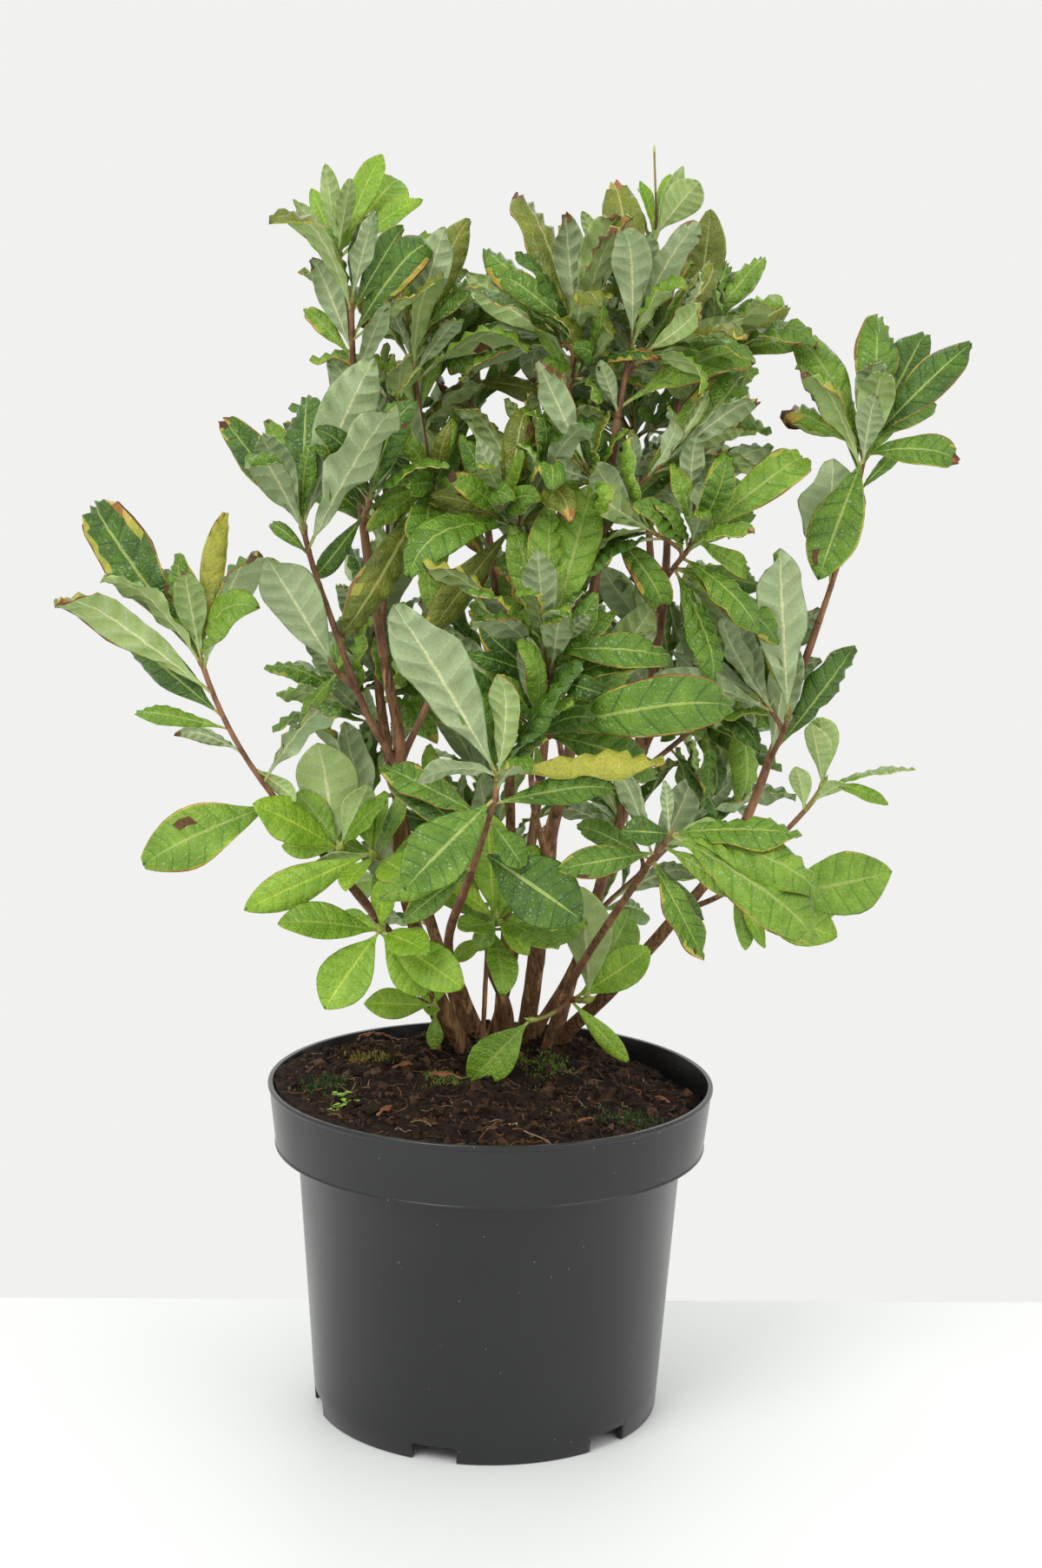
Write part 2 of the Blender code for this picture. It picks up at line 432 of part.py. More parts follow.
def sweep(stations, sides):
    """Rings of points round the stations, each (point, direction, radius), closed by flat ends."""
    points = []
    side = stations[0][1].orthogonal().normalized()
    for centre, along, radius in stations:
        side = (side - along * side.dot(along)).normalized()
        across = along.cross(side)
        for i in range(sides):
            turn = 2 * math.pi * i / sides
            points.append(centre + (side * math.cos(turn) + across * math.sin(turn)) * radius)
    faces = [tuple(reversed(range(sides)))]
    for ring in range(len(stations) - 1):
        for i in range(sides):
            a, b = ring * sides + i, ring * sides + (i + 1) % sides
            faces.append((a, b, b + sides, a + sides))
    last = (len(stations) - 1) * sides
    faces.append(tuple(last + i for i in range(sides)))
    return points, faces


# Limbs

def side_start(point, towards, tree, end_at):
    """Where a limb leaves the side of another: as near as its end keeps GAP clear of the other's faces.

    end_at gives the corners of the limb's end when it starts at a place.
    """
    start = point.copy()
    while True:
        corners = end_at(start)
        sides = list(zip(corners, corners[1:] + corners[:1]))
        edges = [a.lerp(b, share) for a, b in sides for share in (0.25, 0.5, 0.75)]
        if all(outside(place, tree) for place in (start, *corners, *edges)):
            return start
        start += towards * SEAT_STEP


def outside(place, tree):
    near, normal, _, distance = tree.find_nearest(place)
    return distance >= GAP and (place - near).dot(normal) > 0


def limb_shape(limb, done, trees):
    """The limb's path, and its radius as a function of the distance along it."""
    base, tip = limb.width / 2, limb.tip_width / 2
    through = [Vector(p) for p in limb.through]
    if limb.parent is None:
        foot = Vector((*limb.through[0], GROUND + GAP))
        points, start = [foot] + [Vector(p) for p in limb.through[1:]], UP
    else:
        path, _ = done[limb.parent]
        point, along = on_path(path, limb.at * path_length(path))
        if limb.at == 1.0:
            start = along
            points = [point + along * GAP] + through
        else:
            start = (through[0] - point).normalized()

            def end_at(place):
                path = smooth_path([place] + through, start, through[-1] - through[-2])
                return sweep([(*on_path(path, 0), base)] * 2, BOUGH_SIDES)[0][:BOUGH_SIDES]

            points = [side_start(point, start, trees[limb.parent], end_at)] + through
    path = smooth_path(points, start, points[-1] - points[-2])
    length = path_length(path)
    flare = ROOT_FLARE if limb.parent is None else 0.0

    def radius_at(distance):
        swell = 1 + flare * math.exp(-distance / FLARE_HEIGHT)
        return (base + (tip - base) * distance / length) * swell

    return path, radius_at


def limb_solid(limb, shape):
    path, radius_at = shape
    length = path_length(path)
    count = max(3, round(length / LIMB_STEP))
    distances = [length * i / count for i in range(count + 1)]
    if limb.parent is None:
        distances = sorted(distances + [d for d in FLARE_STATIONS if d < length / 3])
    stations = []
    for distance in distances:
        point, along = on_path(path, distance)
        stations.append((point, UP if distance == 0 and limb.parent is None else along, radius_at(distance)))
    return sweep(stations, BOUGH_SIDES if limb.parent else STEM_SIDES)


# Shoots

def shoot_path(start, heading, tip):
    """From start along heading, swinging up to the tip."""
    span = tip - start
    arrive = (span.normalized() + UP * TWIG_RISE).normalized()
    reach = span.length * TWIG_SWING
    path = []
    a, b, c, d = start, start + heading * reach, tip - arrive * reach, tip
    for step in range(CURVE_STEPS + 1):
        t = step / CURVE_STEPS
        path.append(a * (1 - t)**3 + b * 3 * t * (1 - t)**2 + c * 3 * t * t * (1 - t) + d * t**3)
    return path


def mass_paths(mass, limbs, trees):
    """The path and the radius of each shoot of a mass."""
    path, radius_at = limbs[mass.limb]
    distance = mass.at * path_length(path)
    point, along = on_path(path, distance)
    paths = []
    for shoot in mass.shoots:
        tip = Vector(shoot.tip)
        if shoot.off is None and mass.at == 1.0:
            radius = min(radius_at(distance), TWIG_RADIUS * FIRST_TWIG_SWELL)
            paths.append((shoot_path(point + along * GAP, along, tip), radius))
        elif shoot.off is None:
            towards = (tip - point).normalized()

            def end_at(place):
                return twig_solid(shoot_path(place, towards, tip), TWIG_RADIUS)[0][:TWIG_SIDES]

            start = side_start(point, towards, trees[mass.limb], end_at)
            paths.append((shoot_path(start, towards, tip), TWIG_RADIUS))
        else:
            parent, place = shoot.off
            start, heading = on_path(paths[parent][0], place * path_length(paths[parent][0]))
            heading = (heading + (tip - start).normalized()).normalized()
            radius = SIDE_TWIG_RADIUS if shoot.leaves else SIDE_TWIG_RADIUS / 2
            paths.append((shoot_path(start, heading, tip), radius))
    return paths


def twig_solid(path, radius):
    """A three-sided twig that ends in a pointed bud."""
    length = path_length(path)
    bud = min(BUD_LENGTH, length / 3)
    stations = []
    for i in range(TWIG_STATIONS):
        point, along = on_path(path, (length - bud) * i / (TWIG_STATIONS - 1))
        stations.append((point, along, radius * (TWIG_SWELL if i == TWIG_STATIONS - 1 else 1)))
    for share, swell in ((BUD_WIDEST, BUD_SWELL), (1.0, BUD_POINT)):
        point, along = on_path(path, length - bud + bud * share)
        stations.append((point, along, radius * swell))
    return sweep(stations, TWIG_SIDES)


# Leaves

Leaf = namedtuple("Leaf", "base chord up length bend width fold")


def outline(place):
    """Half the leaf's width at this share of its length, as a share of the widest."""
    blade = (place - PETIOLE) / (1 - PETIOLE)
    if blade <= 0 or blade >= 1:
        return 0.0
    return math.sin(math.pi * blade**OUTLINE_SKEW) ** OUTLINE_FULLNESS


def spine(leaf, place):
    """The point, the direction and the upper side's normal at a share of the leaf's length."""
    bend = math.radians(max(leaf.bend, 1.0))
    lift = bend / 2
    out = leaf.chord * math.cos(lift) + leaf.up * math.sin(lift)
    down = leaf.chord * math.sin(lift) - leaf.up * math.cos(lift)
    turn = bend * place
    scale = leaf.length / bend
    point = leaf.base + (out * math.sin(turn) + down * (1 - math.cos(turn))) * scale
    along = out * math.cos(turn) + down * math.sin(turn)
    normal = out * math.sin(turn) - down * math.cos(turn)
    return point, along, normal


def leaf_solid(leaf):
    """A closed leaf of a few faces: flat above, with a keel below that runs straight to the tip."""
    points = []
    for place in (0.0, *LEAF_STATIONS):
        point, across, normal, half, rise, keel = leaf_section(leaf, place)
        points += [point - across * half + normal * rise, point + across * half + normal * rise]
        if place < LEAF_STATIONS[1]:
            points.append(point - normal * keel)
    points.append(spine(leaf, 1.0)[0])
    faces = [(0, 2, 1)]
    for i in range(3):
        j = (i + 1) % 3
        faces += [(i, j, 3 + j), (i, 3 + j, 3 + i)]
    faces += [(3, 4, 7), (3, 7, 6), (6, 7, 8), (4, 5, 7), (7, 5, 8), (5, 3, 6), (5, 6, 8)]
    return points, faces


def leaf_section(leaf, place):
    """At a share of the length: the spine's point, the cross directions, half width, edge rise and keel."""
    point, along, normal = spine(leaf, place)
    fold = math.radians(leaf.fold)
    half = max(outline(place) * leaf.width * leaf.length / 2, PETIOLE_WIDTH / 2)
    keel = max(leaf.length / LEAF_SLIMNESS * min(place / KEEL_START, 1), PETIOLE_DEPTH)
    return point, along.cross(normal), normal, half * math.cos(fold), half * math.sin(fold), keel


def leaf_envelope(leaf, start):
    """The room that a leaf takes up from this share of its length on, CLEARANCE wider all round."""
    points = []
    tip, along, _ = spine(leaf, 1.0)
    for place in (start, *LEAF_STATIONS):
        point, across, normal, half, rise, keel = leaf_section(leaf, place)
        under = point - normal * keel
        if place == LEAF_STATIONS[0]:
            first_keel = under
        elif place == LEAF_STATIONS[1]:
            under = first_keel.lerp(tip, (place - LEAF_STATIONS[0]) / (1 - LEAF_STATIONS[0]))
        wide = across * (half + CLEARANCE)
        above, below = normal * (rise + CLEARANCE), normal * (rise - CLEARANCE)
        points += [point - wide + above, point + wide + above, point + wide + below,
                   under - normal * CLEARANCE, point - wide + below]
    points.append(tip + along * CLEARANCE)
    faces = [(4, 3, 2, 1, 0)]
    for a in (0, 5):
        for i in range(5):
            j = (i + 1) % 5
            faces += [(a + i, a + j, a + 5 + j), (a + i, a + 5 + j, a + 5 + i)]
    faces += [(10 + i, 10 + (i + 1) % 5, 15) for i in range(5)]
    return points, faces


def make_leaf(base, hint, chord, length, look, bend, roll):
    """A leaf whose upper side is turned as near to the hint as its chord allows, then rolled."""
    up = hint - chord * hint.dot(chord)
    if up.length < ALONG_HINT:
        up = UP - chord * UP.dot(chord)
    up = Matrix.Rotation(math.radians(roll), 3, chord) @ up.normalized()
    return Leaf(base, chord, up, length, bend, look.width, look.fold)


def leading_leaf(shoot, path, index, rng, attempt):
    """One of the shoot's leading leaves, nudged further at each attempt, mostly in its lean.

    A steep leaf that shows its upper side leans away from the front and any other such leaf
    leans towards it; with leaves that spread or hang it is the other way round.
    """
    place, hour, seen_length, bend, side = shoot.leading[index]
    nudge = NUDGE * attempt
    length = path_length(path)
    base, axis = on_path(path, min(place * length, length - BUD_LENGTH * LEAF_SEAT))
    turn = math.radians(hour * HOUR + rng.uniform(-nudge, nudge) / 2)
    lean = math.radians(rng.uniform(LEANS[0] - attempt, LEANS[1] + attempt))
    lean *= -side if math.cos(turn) > STEEP else side
    roll = rng.uniform(-1, 1) * (LEAF_WAVER + nudge)
    seen = Vector((math.sin(turn), 0.0, math.cos(turn)))
    chord = seen * math.cos(lean) + FRONT * math.sin(lean)
    arc = math.radians(max(bend, 1.0)) / 2
    leaf_length = seen_length / math.cos(lean) * arc / math.sin(arc) * (1 - SHRINK / 2 * attempt)
    hint = axis * (1 - SHOWN) + FRONT * side * SHOWN
    return make_leaf(base, hint, chord, leaf_length, shoot.look, bend, roll)


def whorl_leaf(shoot, path, index, rng, attempt):
    """The shoot's next leaf by rule: each a golden turn on, opening wider down the shoot."""
    look = shoot.look
    total = shoot.leaves - len(shoot.leading)
    share = index / max(total - 1, 1)
    down = WHORL_START + WHORL_STEP * min(index, WHORL_LEAVES)
    down += LOWER_LEAF_STEP * max(index - WHORL_LEAVES, 0)
    nudge = NUDGE * attempt
    length = path_length(path)
    base, axis = on_path(path, max(length - down, length * WHORL_LOWEST))
    side = UP.cross(axis) if abs(axis.z) < UPRIGHT else Vector((1, 0, 0))
    turn = whorl_turn(shoot) + GOLDEN_TURN * index + rng.uniform(-1, 1) * (LEAF_WAVER + 2 * nudge)
    out = Matrix.Rotation(math.radians(turn), 3, axis) @ side.normalized()
    opening = look.last_open + (look.first_open - look.last_open) * share**OPENING_CURVE
    opening = math.radians(max(LEAST_OPENING, opening + rng.uniform(-1, 1) * (LEAF_WAVER + nudge)))
    chord = (axis * math.cos(opening) + out * math.sin(opening)).normalized()
    leaf_length = shoot.length * LARGER * (1 + look.spread * rng.uniform(-WHORL_SPREAD, WHORL_SPREAD))
    grown = min(1.0, INNER_LEAF_GROWTH[0] + INNER_LEAF_GROWTH[1] * share)
    leaf_length *= INNER_LEAF_SIZE + (1 - INNER_LEAF_SIZE) * grown
    leaf_length *= 1 - SHRINK * attempt
    at_tip, at_foot, either_way = BEND_SHARES
    bend = look.bend * (at_tip + at_foot * share + either_way * rng.uniform(-1, 1))
    roll = rng.uniform(-1, 1) * (2 * LEAF_WAVER + nudge)
    return make_leaf(base, axis, chord, leaf_length, look, bend, roll)


def whorl_turn(shoot):
    """A starting turn for the whorl, worked out from where the shoot stands."""
    return sum(place * turn for place, turn in zip(shoot.tip, WHORL_TURNS)) % 360


# Which leaves fit

def box_of(points):
    low = Vector([min(p[i] for p in points) for i in range(3)])
    high = Vector([max(p[i] for p in points) for i in range(3)])
    return low, high


def apart(a, b):
    return any(a[0][i] > b[1][i] or b[0][i] > a[1][i] for i in range(3))


def obstacle(owner, points, faces):
    return owner, box_of(points), BVHTree.FromPolygons(points, faces)


def fits(mass, leaf, obstacles):
    """Whether the leaf keeps clear of everything but its own shoot's foot, and stays in the crown."""
    tests = {}
    for own, start in ((False, 0.0), (True, min(OWN_SHOOT_REACH / leaf.length, OWN_SHOOT_SHARE))):
        points, faces = leaf_envelope(leaf, start)
        tests[own] = box_of(points), BVHTree.FromPolygons(points, faces)
    low, high = tests[False][0]
    if any(low[i] < CROWN_LOW[i] or high[i] > CROWN_HIGH[i] for i in range(3)):
        return False
    for owner, box, tree in obstacles:
        own_box, own_tree = tests[owner == mass.name]
        if not apart(box, own_box) and tree.overlap(own_tree):
            return False
    return True


def place_leaves(masses, paths, obstacles):
    """Leaves for every mass in turn, leading leaves first, each kept only where it fits."""
    obstacles = list(obstacles)
    placed = {mass.name: [] for mass in masses}
    jobs = []
    for mass in masses:
        for which, shoot in enumerate(mass.shoots):
            leading = len(shoot.leading)
            jobs += [(0, i, mass, which) for i in range(leading)]
            jobs += [(1, i, mass, which) for i in range(max(shoot.leaves - leading, 0))]
    order = {mass.name: i for i, mass in enumerate(masses)}
    jobs.sort(key=lambda job: (job[0], job[1], order[job[2].name], job[3]))
    for kind, index, mass, which in jobs:
        shoot, path = mass.shoots[which], paths[mass.name][which][0]
        rule = (leading_leaf, whorl_leaf)[kind]
        seed = f"{mass.name} {which} {kind} {index}"
        for attempt in range(TRIES):
            leaf = rule(shoot, path, index, random.Random(f"{seed} {attempt}"), attempt)
            if fits(mass, leaf, obstacles):
                placed[mass.name].append((which, kind, index, leaf))
                obstacles.append(obstacle(mass.name, *leaf_solid(leaf)))
                break
    return placed


# Objects

def material(name, colour, roughness):
    made = bpy.data.materials.new(name)
    made.use_nodes = True
    shader = made.node_tree.nodes["Principled BSDF"]
    shader.inputs["Base Color"].default_value = (*colour, 1.0)
    shader.inputs["Roughness"].default_value = roughness
    shader.inputs["Metallic"].default_value = 0.0
    return made


def mesh_object(name, points, faces, finish=None, collection=None):
    mesh = bpy.data.meshes.new(name)
    mesh.from_pydata([tuple(p) for p in points], [], faces)
    mesh.update()
    made = bpy.data.objects.new(name, mesh)
    if finish:
        mesh.materials.append(finish)
    (collection or bpy.context.scene.collection).objects.link(made)
    return made


def turned_shape(profile, segments):
    """A profile of (radius, height) turned round the Z axis, closed at both ends on the axis."""
    points, faces, rings = [], [], []
    for radius, height in profile:
        if radius == 0:
            rings.append([len(points)])
            points.append(Vector((0, 0, height)))
            continue
        rings.append(list(range(len(points), len(points) + segments)))
        for i in range(segments):
            turn = 2 * math.pi * i / segments
            points.append(Vector((radius * math.cos(turn), radius * math.sin(turn), height)))
    for below, above in zip(rings, rings[1:]):
        for i in range(segments):
            j = (i + 1) % segments
            if len(below) == 1:
                faces.append((below[0], above[j], above[i]))
            elif len(above) == 1:
                faces.append((below[i], below[j], above[0]))
            else:
                faces.append((below[i], below[j], above[j], above[i]))
    return points, faces


def inner_profile():
    """The wall's inside from the rim down to the floor, as (radius, height)."""
    step = RIM_HEIGHT - BAND_DEPTH
    return [
        (RIM_RADIUS - LIP_OVERHANG - WALL, RIM_HEIGHT),
        (BAND_FOOT_RADIUS - WALL, step + WALL),
        (BODY_TOP_RADIUS - WALL, step + WALL),
        (FOOT_RADIUS + (BODY_TOP_RADIUS - FOOT_RADIUS) * FLOOR_TOP / step - WALL, FLOOR_TOP),
    ]


def build_pot(finish):
    step = RIM_HEIGHT - BAND_DEPTH
    band = RIM_RADIUS - LIP_OVERHANG
    ring = FOOT_RADIUS - WALL
    profile = [
        (0, 0), (PAD_RADIUS, 0), (PAD_RADIUS + WALL, FLOOR_UNDERSIDE), (ring - WALL, FLOOR_UNDERSIDE),
        (ring - WALL, 0), (FOOT_RADIUS, 0), (BODY_TOP_RADIUS, step), (BAND_FOOT_RADIUS, step),
        (band, RIM_HEIGHT - LIP_DEPTH), (RIM_RADIUS, RIM_HEIGHT - LIP_DEPTH + LIP_OVERHANG),
        (RIM_RADIUS, RIM_HEIGHT), *inner_profile(), (0, FLOOR_TOP),
    ]
    pot = mesh_object("pot", *turned_shape(profile, POT_SEGMENTS), finish)
    for i in range(NOTCHES):
        notch_pot(pot, FIRST_NOTCH_HEADING + 360 * i / NOTCHES)
    pot.data.shade_smooth()
    pot.data.set_sharp_from_angle(angle=math.radians(POT_EDGE))
    return pot


def notch_pot(pot, heading):
    """One drainage notch through the foot ring."""
    out = direction(heading, 0)
    bpy.ops.mesh.primitive_cube_add(size=1)
    cutter = bpy.context.object
    cutter.scale = (NOTCH_DEPTH, NOTCH_WIDTH, NOTCH_HEIGHT * 2)
    cutter.rotation_euler.z = math.radians(heading)
    cutter.location = out * FOOT_RADIUS
    bpy.context.view_layer.update()
    cut = pot.modifiers.new("notch", "BOOLEAN")
    cut.operation = "DIFFERENCE"
    cut.solver = "EXACT"
    cut.object = cutter
    keep_result(pot)
    bpy.data.objects.remove(cutter)


def keep_result(thing):
    """The modifiers' result becomes the object's own mesh."""
    graph = bpy.context.evaluated_depsgraph_get()
    result = bpy.data.meshes.new_from_object(thing.evaluated_get(graph))
    result.name = thing.name
    thing.modifiers.clear()
    thing.data = result


def soil_height(point):
    """The soil's top: level round the clump, falling evenly to the heights along the wall."""
    heading = math.atan2(point.y, point.x) - math.radians(SOIL_LOW_HEADING)
    edge = SOIL_EDGE_HEIGHT - SOIL_EDGE_SLOPE * math.cos(heading)
    flat = Vector((point.x, point.y, 0))
    away = max((flat - CLUMP).length - CLUMP_RADIUS, 0.0)
    to_wall = max(inner_profile()[0][0] - flat.length, 0.0)
    return GROUND + (edge - GROUND) * away / max(away + to_wall, GAP)


def soil_shape():
    """The soil's body: the inside of the pot a gap smaller, under a top of rings."""
    rim, step, shoulder, floor = inner_profile()
    middle = Vector((0, 0, 0))
    points, faces = [Vector((0, 0, FLOOR_TOP + GAP))], []
    rings = [(middle, floor[0] - GAP, FLOOR_TOP + GAP), (middle, shoulder[0] - GAP, shoulder[1] + GAP),
             (middle, step[0] - GAP, step[1] + GAP)]
    for i in range(SOIL_RINGS + 1):
        share = i / SOIL_RINGS
        rings.append((CLUMP * share, rim[0] + (CLUMP_RADIUS - rim[0]) * share, None))
    for centre, radius, height in rings:
        for i in range(POT_SEGMENTS):
            turn = 2 * math.pi * i / POT_SEGMENTS
            out = Vector((math.cos(turn), math.sin(turn), 0))
            point = centre + out * radius
            point.z = soil_height(point) if height is None else height
            if radius == rim[0]:
                share = (point.z - step[1]) / (rim[1] - step[1])
                point -= out * ((rim[0] - step[0]) * (1 - share) + GAP)
            points.append(point)
    points.append(Vector((CLUMP.x, CLUMP.y, GROUND)))
    for ring in range(len(rings) - 1):
        for i in range(POT_SEGMENTS):
            a, b = 1 + ring * POT_SEGMENTS + i, 1 + ring * POT_SEGMENTS + (i + 1) % POT_SEGMENTS
            faces.append((a, b, b + POT_SEGMENTS, a + POT_SEGMENTS))
    last = 1 + (len(rings) - 1) * POT_SEGMENTS
    for i in range(POT_SEGMENTS):
        j = (i + 1) % POT_SEGMENTS
        faces.append((0, 1 + j, 1 + i))
        faces.append((last + i, last + j, len(points) - 1))
    return points, faces


def build_mass(mass, paths, leaves, finish):
    """The mass's twigs and leaves, joined into one solid by a Boolean union on a collection."""
    shapes = [twig_solid(path, radius) for path, radius in paths]
    shapes += [leaf_solid(leaf) for _, _, _, leaf in leaves]
    joined = mesh_object(mass.name, *shapes[0], finish)
    group = bpy.data.collections.new(mass.name + "_pieces")
    bpy.context.scene.collection.children.link(group)
    for i, shape in enumerate(shapes[1:]):
        mesh_object(f"{mass.name}_piece_{i}", *shape, collection=group)
    if group.objects:
        union = joined.modifiers.new("union", "BOOLEAN")
        union.operation = "UNION"
        union.solver = "EXACT"
        union.operand_type = "COLLECTION"
        union.collection = group
        keep_result(joined)
        drop_inner_shells(joined.data)
    for piece in list(group.objects):
        bpy.data.objects.remove(piece)
    bpy.data.collections.remove(group)
    return joined


def drop_inner_shells(mesh):
    """Keeps the mesh's largest connected shell: a hollow that the union sealed is filled, a scrap dropped."""
    shape = bmesh.new()
    shape.from_mesh(mesh)
    left, shells = set(shape.verts), []
    while left:
        shell, edge = set(), [left.pop()]
        while edge:
            vert = edge.pop()
            shell.add(vert)
            near = {link.other_vert(vert) for link in vert.link_edges} & left
            left -= near
            edge += near
        shells.append(shell)
    shells.sort(key=len)
    for shell in shells[:-1]:
        bmesh.ops.delete(shape, geom=list(shell), context="VERTS")
    bmesh.ops.dissolve_limit(shape, angle_limit=math.radians(FLAT), verts=shape.verts, edges=shape.edges)
    shape.to_mesh(mesh)
    shape.free()


def clear_scene():
    for thing in list(bpy.data.objects):
        bpy.data.objects.remove(thing)


def plan():
    """What is settled before any object is made: the limbs' solids, the masses and their shoots."""
    limbs, solids, trees, masses = {}, {}, {}, mass_rows()
    for limb in limb_rows():
        limbs[limb.name] = limb_shape(limb, limbs, trees)
        solids[limb.name] = limb_solid(limb, limbs[limb.name])
        trees[limb.name] = BVHTree.FromPolygons(*solids[limb.name])
    paths = {mass.name: mass_paths(mass, limbs, trees) for mass in masses}
    return solids, masses, paths


def main():
    clear_scene()
    plastic = material("pot_plastic", (0.030, 0.032, 0.035), 0.38)
    peat = material("peat", (0.045, 0.028, 0.018), 0.95)
    bark = material("bark", (0.13, 0.065, 0.036), 0.85)
    foliage = material("foliage", (0.10, 0.20, 0.055), 0.5)
    pot = build_pot(plastic)
    soil = mesh_object("soil", *soil_shape(), peat)
    solids, masses, paths = plan()
    obstacles = []
    for thing in (pot, soil):
        points = [v.co.copy() for v in thing.data.vertices]
        obstacles.append(obstacle(thing.name, points, [tuple(f.vertices) for f in thing.data.polygons]))
    for name, (points, faces) in solids.items():
        stem = mesh_object(name, points, faces, bark)
        stem.data.shade_smooth()
        stem.data.set_sharp_from_angle(angle=math.radians(BARK_EDGE))
        obstacles.append(obstacle(name, points, faces))
    for mass in masses:
        for path, radius in paths[mass.name]:
            obstacles.append(obstacle(mass.name, *twig_solid(path, radius)))
    placed = place_leaves(masses, paths, obstacles)
    for mass in masses:
        build_mass(mass, paths[mass.name], placed[mass.name], foliage)


main()
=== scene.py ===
"""The looks of a potted deciduous azalea, a many-stemmed rhododendron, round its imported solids.

Metres, +Z up, +X to the viewer's right and +Y away. The origin is the middle of the pot's
underside. Headings are degrees in plan from +X towards +Y, and rises are degrees above level.
Limbs, shoots and leaves grow by the rule of the solids, carried on to veins, buds and bark.
"""

import json
import math
import random
from collections import namedtuple

import bpy
import numpy as np
from mathutils import Matrix, Vector, noise
from mathutils.bvhtree import BVHTree

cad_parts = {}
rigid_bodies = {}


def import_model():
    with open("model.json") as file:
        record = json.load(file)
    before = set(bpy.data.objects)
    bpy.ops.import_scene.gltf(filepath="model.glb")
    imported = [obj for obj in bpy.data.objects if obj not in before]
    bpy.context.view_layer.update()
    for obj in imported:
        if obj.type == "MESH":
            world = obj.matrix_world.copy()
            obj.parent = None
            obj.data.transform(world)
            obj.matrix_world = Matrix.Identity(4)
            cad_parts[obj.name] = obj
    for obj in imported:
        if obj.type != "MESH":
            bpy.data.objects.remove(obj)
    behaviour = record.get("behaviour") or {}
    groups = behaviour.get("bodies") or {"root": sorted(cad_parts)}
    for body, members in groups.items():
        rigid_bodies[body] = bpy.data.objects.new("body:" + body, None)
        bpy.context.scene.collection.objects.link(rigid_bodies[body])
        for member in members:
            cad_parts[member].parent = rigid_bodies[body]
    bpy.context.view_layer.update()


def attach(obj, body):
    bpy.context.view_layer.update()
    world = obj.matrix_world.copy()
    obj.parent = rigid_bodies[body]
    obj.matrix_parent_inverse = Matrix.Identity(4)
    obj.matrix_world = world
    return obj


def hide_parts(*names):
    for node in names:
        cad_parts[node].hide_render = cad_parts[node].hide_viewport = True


UP = Vector((0.0, 0.0, 1.0))
FRONT = Vector((0.0, -1.0, 0.0))
MM = 0.001

# The pot: a 10 litre moulded nursery container, 28 cm across its rim.
POT_SIDES = 120
RIM_RADIUS = 0.1403
RIM_HEIGHT = 0.2106
LIP_DEPTH = 0.0035
LIP_OVERHANG = 0.0010
BAND_FOOT_RADIUS = 0.1353
BAND_DEPTH = 0.0408
BODY_TOP_RADIUS = 0.1214
FOOT_RADIUS = 0.1094
WALL = 0.0022
FLOOR_UNDERSIDE = 0.0110
FLOOR_TOP = 0.0140
PAD_RADIUS = 0.0300
NOTCHES = 6
FIRST_NOTCH_HEADING = -48.0
NOTCH_WIDTH = 0.028
NOTCH_HEIGHT = 0.010
NOTCH_DEPTH = 0.016
NOTCH_ROUND = 0.0015
EDGE_ROUND = 0.0005
EASE = 0.0006  # how far the pot's edges are eased
FOOT_EASE = 0.0008
BODY_RING = 0.016  # the height of a ring just over the floor
BEAD = 0.0005  # how far the band's lower edge stands out
BEAD_TOP = 0.0016
BEAD_END = 0.0024
ROUNDED_FROM = 40.0  # degrees, the least angle that is rounded, and the least that stays a sharp edge
SHARP_FROM = 35.0

# The soil: level where the clump stands, then falling evenly to the wall, lowest at the right.
CLUMP = Vector((0.011, 0.067, 0.0))
CLUMP_RADIUS = 0.050
GROUND = 0.2140
SOIL_EDGE_HEIGHT = 0.2010
SOIL_EDGE_SLOPE = 0.0085
SOIL_LOW_HEADING = 30.0
SOIL_SIDES = 240
SOIL_RINGS = 56
SOIL_RING_STEP = 0.0024
SOIL_GAP = 0.0004  # between the peat and the pot
SOIL_RELIEF = 0.0058
LUMPS = ((45, 0.9), (130, 0.55), (380, 0.35))  # the relief's lumps: how fine and how high
WALL_CALM = 0.45  # the share of the relief that is left at the wall
WALL_REACH = 0.03
MOUND = Vector((-0.085, 0.010, 0.0))  # the soil's higher part at the left
MOUND_HEIGHT = 0.008
MOUND_REACH = 0.055
CRUMBS = 2100
CRUMB_SIZES = (0.0007, 0.0038)  # the least, and how much more the largest has
CRUMB_REACH = 0.1345  # how far from the pot's middle they lie
CRUMB_STRETCH = ((0.6, 1.4), (0.6, 1.2), (0.5, 0.9))
CRUMB_WAVER = (0.75, 1.25)
CRUMB_KINDS = (0, 0, 0, 1, 1, 2)
CRUMB_CORNERS = ((1, 0, 0), (0, 1, 0), (-1, 0, 0), (0, -1, 0), (0, 0, 1), (0, 0, -1),
                 (0.7, 0.7, 0.6), (-0.7, 0.7, 0.6), (-0.7, -0.7, 0.6), (0.7, -0.7, 0.6))
FIBRES = 700
FIBRE_LENGTHS = (0.004, 0.022)  # the least, and how much more the longest has
FIBRE_RADII = (0.00016, 0.00045)
FIBRE_REACH = 0.13
FIBRE_LIMIT = 0.135
FIBRE_WANDER = 24.0
FIBRE_TURN = 150.0  # degrees that a thread turns back at the wall
FIBRE_KINDS = (0, 0, 1, 1, 1, 2, 3)
